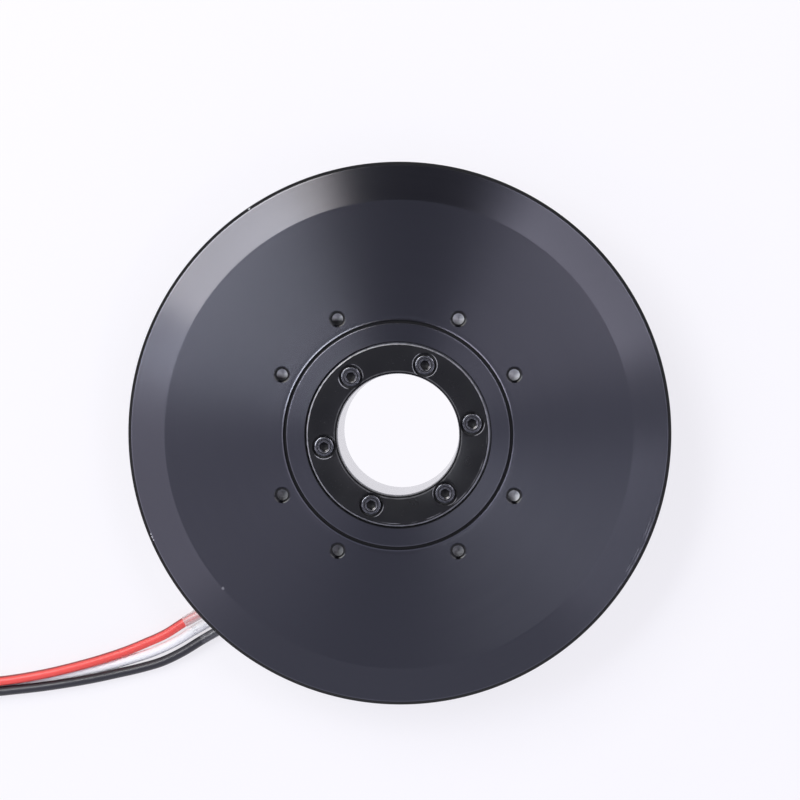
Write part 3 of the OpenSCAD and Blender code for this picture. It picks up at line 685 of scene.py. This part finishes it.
def lead_path(name):
    """The stretch through the outlet, the route on the surface, and two turns of a spiral whose radius
    shrinks by one pitch in a turn, clockwise from its lowest point."""
    row = ROWS[name]
    inside = [outlet_point(u, row) for u in (*OUTLET_STOPS, SLEEVE_ENDS[name])]
    route = np.array(ROUTES_MM[name]) * MM
    theta = np.linspace(0, TURN * COIL_TURNS, COIL_STEPS * COIL_TURNS + 1)[1:]
    radius = COIL_R + row * BUNDLE_SIDE - COIL_PITCH * theta / TURN
    angle = -TURN / 4 - theta
    wound_part = np.stack([COIL_CENTRE[0] + radius * np.cos(angle), COIL_CENTRE[1] + radius * np.sin(angle),
                           np.full_like(angle, route[-1][2])], axis=1)
    return smooth_route(np.vstack([inside, route, wound_part]), LEAD_SPACING)


def bare_tip(name, end, finish):
    """Tinned strands: a rod along -X whose radius ripples as r (1 + 0.06 cos(n (a - twist x))) for n
    strands, rounded at its end."""
    share = np.concatenate([np.linspace(0, TIP_STRAIGHT, 30), [0.94, 0.98, 1.0]])
    taper = np.sqrt(np.clip(1 - ((share - TIP_STRAIGHT) / 0.125).clip(0) ** 2, 0, 1))
    x = share * TIP_LENGTH
    a = full_turn(6 * STRANDS)
    radius = 0.94 * TIP_R * taper[:, None] * (1 + 0.06 * np.cos(STRANDS * (a - STRAND_TWIST * x[:, None])))
    points = turned(radius, -x, a)[:, [2, 0, 1]] + end
    points = np.vstack([points, end, end - [TIP_LENGTH, 0, 0]])
    tip = piece(f"tip_{name}", points, capped(len(x), len(a)), [finish], "base")
    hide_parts("lead_tips")
    return tip


def sleeve(name):
    """A clear sleeve: two round walls along the lead, joined at both ends."""
    s = sizes()
    ends = [outlet_point(u, ROWS[name]) for u in (SLEEVE_START, SLEEVE_ENDS[name])]
    path = even(np.array(ends), SLEEVE_SPACING)
    along = np.linspace(0, 1, len(path))
    play, wave, thinner = 0.03 * MM, 0.02 * MM, 0.06 * MM
    inner = s.lead_r + play
    outer = inner + s.sleeve_wall + wave * np.sin(along * 19) - thinner * (along > 0.985)
    walls = np.concatenate([circles(path, outer, SLEEVE_SIDES), circles(path, inner, SLEEVE_SIDES)[::-1]])
    made = piece(f"sleeve_{name}_clear", walls.reshape(-1, 3),
                 [grid_quads(len(walls), SLEEVE_SIDES, close_rows=True)],
                 [clear_plastic(f"clear_sleeve_{name}", *SLEEVE_LOOKS[name])], "base", sharp=50)
    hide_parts(f"sleeve_{name}")
    return made


class MOTOR_OT_leads(bpy.types.Operator):
    """Makes the three leads with their sleeves, their wound length and their bare tips"""
    bl_idname = "motor.leads"
    bl_label = "Leads"

    def execute(self, context):
        s, c = sizes(), colours()
        tinned = plain("tinned", (0.72, 0.71, 0.68), 0.3, 3000, 0.003 * MM, 1.0)
        for name, base in (("red", c.red), ("white", c.white), ("black", c.black)):
            path = lead_path(name)
            finish = silicone(f"{name}_silicone", base, *LEAD_LOOKS[name])
            points = np.vstack([circles(path, s.lead_r, LEAD_SIDES).reshape(-1, 3), path[[0, -1]]])
            lead = piece(f"lead_{name}_wire", points, capped(len(path), LEAD_SIDES), [finish], "base",
                         sharp=50)
            # Painted shade: the value grows towards the lead's side at +Y, where the finish darkens it.
            side = np.tile(-np.cos(full_turn(LEAD_SIDES)), len(path))
            point_value(lead, "side", [*side, 0, 0])
            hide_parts(f"lead_{name}", "lead_coil")
            tip = bare_tip(name, path[-1], tinned)
            clear = sleeve(name)
        return {"FINISHED"}


# Bell


# A load hole's patch of the bell's mesh, in columns and rows, and the numbers of the bell's finishes
HOLE_SECTOR = 22
HOLE_ROWS = 14
# RECESS is the painted-shade black of the groove, the chamfers, the lip and the upper threads.
TURNED, EDGE, RECESS, DRILLED, SINK = range(5)

# Load holes by their angle in degrees, with the painted shade of each bottom: how dark the bottom is, the
# direction of its darkest side and how much darker that is
LOAD_HOLES = {27.5: (0.18, 250, 0.45), 62.5: (0.2, 262, 0.5), 117.5: (0.5, 268, 1.0),
              152.5: (0.3, 262, 0.85), 207.5: (0.56, 250, 0.2), 242.5: (0.58, 250, 0.12),
              297.5: (0.54, 270, 0.16), 332.5: (0.28, 215, 0.5)}

# Radius and height in mm of a load hole's mouth, from the face down to the thread
HOLE_LIP_MM = [(2.56, 0), (2.42, 0), (2.34, -0.015), (2.2, -0.06), (2.05, -0.12), (1.85, -0.26)]
THREAD_TOP = -0.4 * MM
THREAD_DEPTH = 0.3 * MM
THREAD_FADE = 0.4 * MM
THREAD_ROWS = 23

# Radius and height in mm of the bell's inside
BELL_INSIDE_MM = [
    (78, 8.2), (78, 25.6), (76.5, 25.6), (76.5, 26.4), (73.9, 29),  # wall and the steel ring's seat
    (45, 29), (44, 28), (44, 26), (43.5, 25.5),  # plate and boss
    (37, 25.5), (37, 9), (36.6, 8.6), (32.5, 8.6),  # bearing sleeve
    (32.5, 9.6), (34, 9.6), (34, 10.6), (32.5, 10.6),  # the snap ring's groove
    (32.5, 28.5), (30.2, 28.5), (30.2, 29.1),  # the bearings' bore and its lip
]

# Worn places: angle, radius, height and size of a spot, and radius, width, angle and reach of an arc
FACE_MARKS = [(221.3, 68.9 * MM, 34 * MM, 0.5 * MM)]
RIM_MARKS = [(123.5, 79.9 * MM, 30.4 * MM, 0.35 * MM), (202.0, 79.3 * MM, 30.9 * MM, 0.4 * MM),
             (202.7, 79.35 * MM, 30.9 * MM, 0.45 * MM), (203.4, 79.4 * MM, 30.9 * MM, 0.35 * MM)]
FACE_ARCS = [(78.4 * MM, 0.1 * MM, 337, 11), (79.15 * MM, 0.1 * MM, 335, 12)]
HUB_SCUFF = (26.15 * MM, 0.16 * MM, 308, 55)


def bell_profile():
    """The bell's section once round as rows of (radius, height, finish of the strip that starts there),
    and the number of the row where the band with the load holes starts."""
    s = sizes()
    inner, outer = s.groove_r - s.groove_w / 2, s.groove_r + s.groove_w / 2
    dip, reach, foot, lip_c = FACE_Z - 0.07 * MM, 3.2 * MM, 0.5 * MM, 0.3 * MM
    top = [
        (outer, FACE_Z - 0.12 * MM, RECESS), (outer + 0.1 * MM, FACE_Z, EDGE),
        (outer + 0.45 * MM, dip, TURNED), (outer + 0.6 * MM, dip, TURNED),
        (outer + 1.3 * MM, FACE_Z, TURNED),
    ]
    band = [(r, FACE_Z, TURNED) for r in np.linspace(s.load_r - reach, s.load_r + reach, HOLE_ROWS + 1)]
    face_r = BELL_R - s.bevel_w
    corner_r, corner_z = BELL_R - s.rim_c, FACE_Z - s.bevel_drop
    slope = s.bevel_drop / (s.bevel_w - s.rim_c)
    outside = [
        (face_r - 0.5 * MM, FACE_Z, TURNED), (face_r, FACE_Z, TURNED),
        (face_r + 0.5 * MM, FACE_Z - 0.5 * MM * slope, TURNED),
        (corner_r - 0.7 * MM, corner_z + 0.7 * MM * slope, TURNED),
        (corner_r - 0.4 * MM, corner_z + 0.4 * MM * slope, EDGE),
        (corner_r - 0.12 * MM, corner_z + 0.1 * MM * slope, RECESS),
        (corner_r + 0.08 * MM, corner_z - 0.13 * MM, RECESS), (BELL_R, corner_z - s.rim_c, TURNED),
        (BELL_R, BELL_LOW + foot, RECESS), (BELL_R - foot, BELL_LOW, TURNED),
    ]
    inside = [(r * MM, z * MM, TURNED) for r, z in BELL_INSIDE_MM]
    lip_r = HUB_R + 0.3 * MM
    lip = [
        (lip_r, FACE_Z - 4.9 * MM, RECESS), (lip_r, FACE_Z - lip_c, RECESS),
        (lip_r + lip_c, FACE_Z, TURNED), (lip_r + 2 * lip_c, FACE_Z, TURNED),
        (inner - s.edge_round - 0.2 * MM, FACE_Z, TURNED),
    ]
    soft = [(inner - s.edge_round * (1 - math.cos(a)), FACE_Z - s.edge_round * (1 - math.sin(a)), EDGE)
            for a in np.radians(range(90, 0, -15))]
    floor = FACE_Z - s.groove_depth
    groove = [(inner, FACE_Z - s.edge_round, RECESS), (inner, floor, RECESS), (outer, floor, RECESS)]
    return np.array(top + band + outside + inside + lip + soft + groove), len(top)


def load_hole(ring, centre, ring_start, level, darkest, more):
    """A threaded blind hole below a ring of points on the face: rows of radius r(z, a), which in the
    thread is the core radius plus half the thread's depth times (1 - cos(a + 2 pi z / pitch)), then a
    shoulder and a drilled cone to a point. Returns its points, the faces of its rows, the faces that close
    it, the rows' finishes and the painted shade of its bottom at each point."""
    s = sizes()
    a = np.arctan2(ring[:, 1] - centre[1], ring[:, 0] - centre[0])
    around = np.ones(len(a))
    lip_r, lip_z = np.array(HOLE_LIP_MM).T * MM
    bottom = -s.load_depth
    z = np.linspace(THREAD_TOP, bottom, THREAD_ROWS)
    fade = np.clip(np.minimum(THREAD_TOP - z, z - bottom) / THREAD_FADE, 0, 1)[:, None]
    thread = s.tap_r + fade * THREAD_DEPTH / 2 * (1 - np.cos(a + TURN * z[:, None] / s.tap_pitch))
    cone = np.array([1, 0.85, 0.65, 0.4, 0.2])
    drill_r = 0.98 * s.tap_r
    radius = np.vstack([lip_r[:, None] * around, thread, drill_r * cone[:, None] * around])
    depth = np.concatenate([lip_z, z, bottom - s.drill_tip * (1 - cone)])
    threads = np.where(z > 0.5 * (THREAD_TOP + bottom), RECESS, DRILLED)
    finish = [TURNED] + [SINK] * (len(lip_r) - 1) + list(threads) + [DRILLED] * (len(cone) - 1)
    tip = centre + [0, 0, FACE_Z + bottom - s.drill_tip]
    points = np.vstack([turned(radius, FACE_Z + depth, a) + centre, tip])
    # Painted shade: darker towards the given direction across the bottom, lighter on the other side.
    towards = (radius * np.cos(a - math.radians(darkest)) / drill_r).clip(-1, 1)
    grime = np.append(level + more * towards, level)
    count = len(a)
    last = ring_start + len(depth) * count
    end = fan(last, np.arange(last - count, last))
    return points, grid_quads(len(depth), count) + ring_start, end, np.repeat(finish, count), grime


class MOTOR_OT_bell(bpy.types.Operator):
    """Makes the turned bell with its groove, bevel and threaded load holes"""
    bl_idname = "motor.bell"
    bl_label = "Bell"

    def execute(self, context):
        s = sizes()
        profile, band = bell_profile()
        steps, rows = s.steps, len(profile)
        points = turned(profile[:, 0], profile[:, 1], full_turn(steps))
        cells = grid_quads(rows, steps, close_rows=True).reshape(rows, steps, 4)
        keep = np.ones((rows, steps), bool)
        holes, patches = [], []
        total = len(points)
        sides = np.arange(band, band + HOLE_ROWS) * steps
        for angle, painted_shade in LOAD_HOLES.items():
            first = round(angle / 360 * steps) - HOLE_SECTOR // 2
            columns = np.arange(first, first + HOLE_SECTOR + 1) % steps
            keep[band:band + HOLE_ROWS, columns[:-1]] = False
            edge = np.concatenate([sides[-1] + steps + columns[:0:-1], (sides + steps)[::-1] + columns[0],
                                   sides[0] + columns[:-1], sides + columns[-1]])
            ring = total + np.arange(len(edge))
            patches.append(np.stack([edge, np.roll(edge, -1), np.roll(ring, -1), ring], axis=1))
            holes.append(load_hole(points[edge], np.array(at(angle, s.load_r)), total, *painted_shade))
            total += len(holes[-1][0])
        blocks, walls, ends, strips, grime = zip(*holes)
        patches, ends = np.vstack(patches), np.vstack(ends)
        quads = np.vstack([cells[keep], patches, *walls])
        outer = np.broadcast_to(profile[:, 2:3], (rows, steps))[keep]
        finish = np.concatenate([outer, np.full(len(patches), TURNED), *strips, np.full(len(ends), DRILLED)])
        bell = piece("bell_turned", np.vstack([points, *blocks]), [quads, ends],
                     [anodised_turned("anodised_turned", 1.95, FACE_MARKS),
                      anodised_turned("anodised_edge", 2.4, RIM_MARKS),
                      recess_black(RIM_MARKS), tapped_bottom(), countersink_black()],
                     "rotor", sharp=14, face_finish=finish)
        point_value(bell, "grime", np.concatenate([np.zeros(len(points)), *grime]))
        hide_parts("rotor_bell")
        return {"FINISHED"}


# Hub


def drilled(made, cutters):
    """Cuts the cutters out of a piece and removes them."""
    for cutter in cutters:
        modifier = made.modifiers.new("drill", "BOOLEAN")
        modifier.operation = "DIFFERENCE"
        modifier.solver = "EXACT"
        modifier.object = cutter
    bpy.context.view_layer.update()
    evaluated = made.evaluated_get(bpy.context.evaluated_depsgraph_get())
    mesh = bpy.data.meshes.new_from_object(evaluated)
    made.modifiers.clear()
    made.data = mesh
    for cutter in cutters:
        bpy.data.objects.remove(cutter)


# The hub ring's wider bore below its step, the step's height, its mesh and the numbers of its finishes
SPIGOT_R = 19.52 * MM
STEP_Z = 30.1 * MM
RING_STEPS = 288
RING_SHARP = 20
CUTTER_STEPS = 96
GLOSS, CUT, DULL, WORN = range(4)

# The hub screws, and the numbers of their finishes
SCREW_COUNT = 6
HEAD_SEAT = SCREW_TOP - 3 * MM
HALF_FLATS = 1.25 * MM
THREAD_R = 1.48 * MM
THREAD_PITCH = 0.5 * MM
SCREW_END_R = 1.0 * MM
SCREW_STEPS = 72
KNURL_TEETH = 24
OXIDE, RUBBED, SOCKET = range(3)

# Worn arcs of the counterbores' mouths, in each of the six: middle angle, reach and strength
MOUTH_WEAR = [
    [(322, 38, 0.8)],
    [(190, 75, 0.8), (345, 70, 0.9)],
    [(222, 34, 1.0), (40, 45, 0.6), (305, 22, 0.5)],
    [(268, 42, 1.0), (30, 30, 0.35)],
    [(322, 34, 0.6)],
    [(160, 40, 0.7), (312, 26, 0.5)],
]

# How worn the rest of a mouth is, and over how many degrees an arc fades
UNWORN = 0.06
WEAR_FADE = 16


def hub_screw_places():
    """The hub screws' places about the axis."""
    s = sizes()
    a = s.hub_screw_turn + np.arange(SCREW_COUNT) * TURN / SCREW_COUNT
    return s.hub_screw_r * np.stack([np.cos(a), np.sin(a), np.zeros(SCREW_COUNT)], axis=1)


def mouth_wear(place):
    """How far the edge is worn at each point: 1 away from the counterbores, and near one the strongest of
    its arcs, each strength times a ramp down that is half way at its reach."""
    s = sizes()
    total = np.ones(len(place))
    for centre, arcs in zip(hub_screw_places(), MOUTH_WEAR):
        x, y, _ = (place - centre).T
        near = np.hypot(x, y) < s.sink_r + 2 * s.sink_c
        value = np.full(len(place), UNWORN)
        for angle, reach, strength in arcs:
            off = np.abs((np.degrees(np.arctan2(y, x)) - angle + 180) % 360 - 180)
            value = np.maximum(value, strength * np.clip(0.5 + (reach - off) / WEAR_FADE, 0, 1))
        total[near] = value[near]
    return total


def hub_cutter():
    """What one screw's hole takes out of the hub ring, about the Z axis: the counterbore with its chamfer
    run on above the ring, and the screw's hole below. Returns its points, its faces and their finishes."""
    s = sizes()
    above, hole_r = 0.3 * MM, 1.65 * MM
    radius = [s.sink_r + s.sink_c + above, s.sink_r, s.sink_r, hole_r, hole_r]
    height = [HUB_TOP + above, HUB_TOP - s.sink_c, HEAD_SEAT, HEAD_SEAT, HUB_LOW - MM]
    points = np.vstack([turned(radius, height, full_turn(CUTTER_STEPS)), [0, 0, height[0]],
                        [0, 0, height[-1]]])
    finish = np.repeat([CUT, WORN, WORN, DULL, DULL, DULL], CUTTER_STEPS)
    return points, capped(len(radius), CUTTER_STEPS), finish


class MOTOR_OT_hub_ring(bpy.types.Operator):
    """Makes the fixed ring in the middle, with its counterbores"""
    bl_idname = "motor.hub_ring"
    bl_label = "Hub ring"

    def execute(self, context):
        s = sizes()
        # DULL takes the painted-shade black: the bore's wall and the screw holes.
        finishes = [anodised_gloss(), cut_edge(), bpy.data.materials["recess_black"], worn_black()]
        bore, mouth = s.hub_bore_r, s.hub_mouth
        rounding, lip = HUB_TOP - 0.06 * MM, HUB_TOP - 0.25 * MM
        profile = np.array([
            (SPIGOT_R, HUB_LOW, GLOSS), (HUB_R, HUB_LOW, GLOSS), (HUB_R, HUB_TOP - s.hub_cut_h, CUT),
            (HUB_R - s.hub_cut_w, HUB_TOP, GLOSS), (bore + 1.5 * mouth, HUB_TOP, WORN),
            (bore + 1.15 * mouth, rounding, WORN), (bore + 0.8 * mouth, lip, DULL),
            (bore, lip - 0.8 * mouth, DULL), (bore, STEP_Z, DULL), (SPIGOT_R, STEP_Z, GLOSS),
        ])
        points = turned(profile[:, 0], profile[:, 1], full_turn(RING_STEPS))
        ring = piece("hub_ring_black", points, [grid_quads(len(profile), RING_STEPS, close_rows=True)],
                     finishes, "base", sharp=RING_SHARP, face_finish=np.repeat(profile[:, 2], RING_STEPS))
        shape, faces, finish = hub_cutter()
        cutters = [piece(f"cutter_{k}", shape + centre, faces, finishes, "base", face_finish=finish)
                   for k, centre in enumerate(hub_screw_places())]
        drilled(ring, cutters)
        smooth(ring.data, RING_SHARP)
        place = np.empty(3 * len(ring.data.vertices), np.float32)
        ring.data.vertices.foreach_get("co", place)
        point_value(ring, "worn", mouth_wear(place.reshape(-1, 3)))
        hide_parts("hub_ring")
        return {"FINISHED"}


# Rows over the top of a screw's head: radius and depth in mm, and finish. The SOCKET rows paint a ring of
# shade on the head's top.
HEAD_TOP_MM = [
    (1.58, 0.1, RUBBED), (1.72, 0.02, OXIDE), (1.8, 0, OXIDE), (1.88, 0, SOCKET), (2.02, 0.03, SOCKET),
    (2.16, 0, OXIDE), (2.42, 0, RUBBED), (2.68, 0.01, RUBBED), (2.78, 0.05, OXIDE),
]


def cap_screw():
    """One cap screw about the Z axis, from the bottom of its socket over its head to its thread's end:
    rows of radius r(a). In the socket it is the hexagon (w / 2) / cos(a mod 60 - 30), on the side of the
    head it ripples for the knurl, and on the thread it ripples with the height. Returns its points, its
    faces and their finishes."""
    s = sizes()
    a = full_turn(SCREW_STEPS)
    hexagon = HALF_FLATS / np.cos((a + TURN / 12) % (TURN / 6) - TURN / 12)
    circle = np.ones(SCREW_STEPS)
    knurl = s.head_r * (1 - 0.018 * (1 + np.cos(KNURL_TEETH * a)))
    # Painted shade: the socket's floor and walls take the shade black.
    rows = [(hexagon * 0.96, SCREW_TOP - 1.5 * MM, SOCKET), (hexagon, SCREW_TOP - 1.42 * MM, SOCKET),
            (hexagon, SCREW_TOP - 0.24 * MM, RUBBED)]
    rows += [(circle * r * MM, SCREW_TOP - depth * MM, finish) for r, depth, finish in HEAD_TOP_MM]
    rows += [
        (circle * s.head_r * 0.99, SCREW_TOP - 0.33 * MM, OXIDE), (knurl, SCREW_TOP - 0.42 * MM, OXIDE),
        (knurl, HEAD_SEAT + 0.25 * MM, OXIDE),
        (circle * (s.head_r - 0.12 * MM), HEAD_SEAT + 0.12 * MM, OXIDE),
        (circle * (s.head_r - 0.2 * MM), HEAD_SEAT, OXIDE), (circle * THREAD_R, HEAD_SEAT, OXIDE),
    ]
    thread_z = np.linspace(HEAD_SEAT - 0.3 * MM, SCREW_LOW + 0.4 * MM, 60)
    ridge = THREAD_R - 0.14 * MM * (1 + np.cos(a + TURN * thread_z[:, None] / THREAD_PITCH))
    rows += [(r, z, OXIDE) for r, z in zip(ridge, thread_z)]
    rows.append((circle * SCREW_END_R, SCREW_LOW, OXIDE))
    radius, height, strips = zip(*rows)
    points = np.vstack([turned(radius, height, a), [0, 0, SCREW_TOP - 1.97 * MM], [0, 0, SCREW_LOW]])
    return points, capped(len(rows), SCREW_STEPS), np.repeat([*strips[:-1], SOCKET, OXIDE], SCREW_STEPS)


class MOTOR_OT_hub_screws(bpy.types.Operator):
    """Makes the six socket cap screws of the hub ring"""
    bl_idname = "motor.hub_screws"
    bl_label = "Hub screws"

    def execute(self, context):
        one, (quads, *ends), finish = cap_screw()
        turns = np.random.default_rng(11).uniform(0, TURN / 6, SCREW_COUNT)
        points = [one @ np.array(Matrix.Rotation(own, 3, "Z")).T + centre
                  for own, centre in zip(turns, hub_screw_places())]
        first = len(one) * np.arange(SCREW_COUNT)[:, None, None]
        faces = [(group + first).reshape(-1, group.shape[1]) for group in (quads, np.vstack(ends))]
        finish = np.concatenate([np.tile(finish[:len(quads)], SCREW_COUNT),
                                 np.tile(finish[len(quads):], SCREW_COUNT)])
        screws = piece("hub_cap_screws", np.vstack(points), faces,
                       [black_oxide(), worn_steel(), bpy.data.materials["recess_black"]], "base", sharp=22,
                       face_finish=finish)
        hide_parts("hub_screws")
        return {"FINISHED"}


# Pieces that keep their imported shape


class MOTOR_OT_finishes(bpy.types.Operator):
    """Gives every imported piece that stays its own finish"""
    bl_idname = "motor.finishes"
    bl_label = "Finishes"

    def execute(self, context):
        groups = [
            (anodised_plain(), ["base_plate"]),
            (metal("bored_aluminium", colours().bright, 0.24, 2400, brushed=0.6),
             ["hollow_shaft", "inner_spacer", "outer_spacer"]),
            (metal("ground_steel", (0.62, 0.62, 0.64), 0.2, 4000, brushed=0.5),
             ["front_inner_race", "rear_inner_race", "front_outer_race", "rear_outer_race", "front_balls",
              "rear_balls", "front_shields", "rear_shields"]),
            (metal("ring_steel", (0.36, 0.36, 0.38), 0.35, 3000), ["back_iron"]),
            (bpy.data.materials["black_oxide"], ["shaft_screws", "snap_ring"]),
            (plain("magnet_nickel", (0.58, 0.58, 0.6), 0.25, 1800, 0.004 * MM, 1.0),
             ["magnets_north", "magnets_south"]),
            (metal("cage_brass", (0.72, 0.5, 0.2), 0.3, 3000), ["front_cage", "rear_cage"]),
            (plain("insulator_nylon", (0.82, 0.79, 0.68), 0.5, 1500, 0.01 * MM),
             ["front_insulator", "rear_insulator"]),
            (plain("grommet_rubber", (0.02, 0.02, 0.02), 0.6, 1500, 0.02 * MM), ["lead_grommet"]),
            (wound(), ["coils_phase_a", "coils_phase_b", "coils_phase_c", "phase_wires", "star_wire"]),
            (laminated(), ["stator_core"]),
            (bpy.data.materials["tinned"], ["lead_splices"]),
        ]
        for finish, names in groups:
            for name in names:
                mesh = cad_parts[name].data
                mesh.materials.clear()
                mesh.materials.append(finish)
        return {"FINISHED"}


# Studio


def look_at(place, aim, up):
    """A matrix that stands at place, looks at aim, and has up towards the picture's top."""
    ahead = (Vector(aim) - Vector(place)).normalized()
    right = ahead.cross(Vector(up)).normalized()
    turn = Matrix((right, right.cross(ahead), -ahead)).transposed().to_4x4()
    return Matrix.Translation(place) @ turn


class MOTOR_OT_camera(bpy.types.Operator):
    """Places the camera at the photograph's viewing angle"""
    bl_idname = "motor.camera"
    bl_label = "Camera"

    def execute(self, context):
        settings = studio()
        data = bpy.data.cameras.new("camera")
        data.lens = settings.lens
        data.sensor_width = 36
        data.clip_start = 0.01
        camera = added("camera", data)
        camera.matrix_world = look_at(settings.camera_place, settings.camera_aim, (0, 1, 0))
        context.scene.camera = camera
        return {"FINISHED"}


LAMP_DISTANCE = 1.3
FLOOR_HALF = 6.0
GLOW = (0.968, 0.955, 1.0, 1)

# Lamps: azimuth and elevation in degrees seen from the motor, width and height in metres, and tint
LAMPS = {
    "key": (132.8, 48, 0.75, 0.41, (1.0, 0.95, 0.86)),
    "top": (146.5, 61.5, 0.67, 0.21, (0.89, 0.94, 1.0)),
    "side": (38.5, 63.4, 0.59, 0.32, (0.95, 0.92, 1.0)),
    "right": (330.5, 61.5, 0.5, 0.1, (0.88, 0.88, 1.0)),
    "left": (189, 50, 1.14, 0.83, (0.95, 0.89, 1.0)),
}

# The dark gap between the lamps: its azimuth, and how far off it ends and is full, all in degrees. Then
# the heights on the unit sphere where it starts and is full, and those where the ceiling does.
GAP = (98, 34, 22)
GAP_HEIGHTS = (0.3, 0.42)
CEILING_HEIGHTS = (0.42, 0.6)


def softbox(name, watts, azimuth, elevation, width, height, tint):
    """A rectangular lamp that faces the motor."""
    data = bpy.data.lights.new(name, "AREA")
    data.shape = "RECTANGLE"
    data.size = width
    data.size_y = height
    data.energy = watts
    data.color = tint
    e = math.radians(elevation)
    place = at(azimuth, LAMP_DISTANCE * math.cos(e), LAMP_DISTANCE * math.sin(e) + FACE_Z)
    added(name, data).matrix_world = look_at(place, (0, 0, FACE_Z), (0, 0, 1))


def floor_paint():
    """The floor's finish. The camera, mirrored rays and refracted rays see an even glow instead, and less
    of it outside the motor's bore, so that the floor looks pale and keeps a soft shadow."""
    paint = Finish("floor_paint", colours().floor, 0.9)
    rays = paint.node("ShaderNodeLightPath").outputs
    seen = paint.largest(rays[f"Is {kind} Ray"] for kind in ("Camera", "Glossy", "Transmission"))
    # Painted light: inside the bore's radius the floor is all glow, so that no shadow shows through the
    # bore.
    bore_light_pool = paint.spread(paint.about_axis()[0], BORE_R + 2 * MM, BORE_R, 0.76, 1.0)
    glow = paint.node("ShaderNodeEmission", Color=GLOW, Strength=1.0)
    mix = paint.node("ShaderNodeMixShader", n0=paint.math("MULTIPLY", seen, bore_light_pool),
                     n1=paint.surface.outputs[0], n2=glow.outputs[0])
    paint.set(paint.tree.nodes["Material Output"], "Surface", mix.outputs[0])
    return paint.material


def walls(tree, wall, ceiling):
    """Pale walls near the horizon, a dimmer ceiling, and a dark gap towards +Y between the lamps."""
    nodes = Nodes(tree)
    direction = nodes.node("ShaderNodeTexCoord").outputs["Generated"]
    height = nodes.split(direction)[2]
    light = nodes.blend(nodes.spread(height, *CEILING_HEIGHTS), wall, ceiling)
    beside = nodes.facing(nodes.level(direction)[1], *GAP)
    dark = nodes.math("MULTIPLY", beside, nodes.spread(height, *GAP_HEIGHTS))
    nodes.set(tree.nodes["Background"], "Color", nodes.blend(dark, light, (0, 0, 0)))


class MOTOR_OT_stage(bpy.types.Operator):
    """Makes the floor, the lamps and the studio's walls"""
    bl_idname = "motor.stage"
    bl_label = "Stage"

    def execute(self, context):
        settings = studio()
        mesh = bpy.data.meshes.new("floor")
        corners = [(-1, -1), (1, -1), (1, 1), (-1, 1)]
        mesh.from_pydata([(x * FLOOR_HALF, y * FLOOR_HALF, 0) for x, y in corners], [], [(0, 1, 2, 3)])
        mesh.materials.append(floor_paint())
        added("floor", mesh)
        world = bpy.data.worlds.new("studio")
        context.scene.world = world
        world.use_nodes = True
        walls(world.node_tree, settings.walls, settings.ceiling)
        for name, values in LAMPS.items():
            softbox(name, getattr(settings, f"{name}_power"), *values)
        context.scene.view_settings.view_transform = "Standard"
        return {"FINISHED"}


class MOTOR_PT_panel(bpy.types.Panel):
    """Lists the sizes, the colours and the steps that make the motor"""
    bl_idname = "MOTOR_PT_panel"
    bl_label = "Brushless Servo Motor"
    bl_space_type = "VIEW_3D"
    bl_region_type = "UI"
    bl_category = "Motor"

    def draw(self, context):
        for group in (sizes(), colours(), studio()):
            box = self.layout.box()
            for key in group.__annotations__:
                box.prop(group, key)
        for operator in OPERATORS:
            self.layout.operator(operator.bl_idname)


GROUPS = {"motor_sizes": MotorSizes, "motor_colours": MotorColours, "motor_studio": StudioSettings}
OPERATORS = [MOTOR_OT_camera, MOTOR_OT_leads, MOTOR_OT_bell, MOTOR_OT_hub_ring, MOTOR_OT_hub_screws,
             MOTOR_OT_finishes, MOTOR_OT_stage]


def register():
    for group in GROUPS.values():
        bpy.utils.register_class(group)
    for key, group in GROUPS.items():
        setattr(bpy.types.Scene, key, PointerProperty(type=group))
    for shown in [*OPERATORS, MOTOR_PT_panel]:
        bpy.utils.register_class(shown)


def unregister():
    for shown in [MOTOR_PT_panel, *reversed(OPERATORS)]:
        bpy.utils.unregister_class(shown)
    for key in GROUPS:
        delattr(bpy.types.Scene, key)
    for group in reversed(GROUPS.values()):
        bpy.utils.unregister_class(group)


def main():
    register()
    bpy.ops.motor.camera()
    bpy.ops.motor.leads()
    bpy.ops.motor.bell()
    bpy.ops.motor.hub_ring()
    bpy.ops.motor.hub_screws()
    bpy.ops.motor.finishes()
    bpy.ops.motor.stage()


if __name__ == "__main__":
    main()
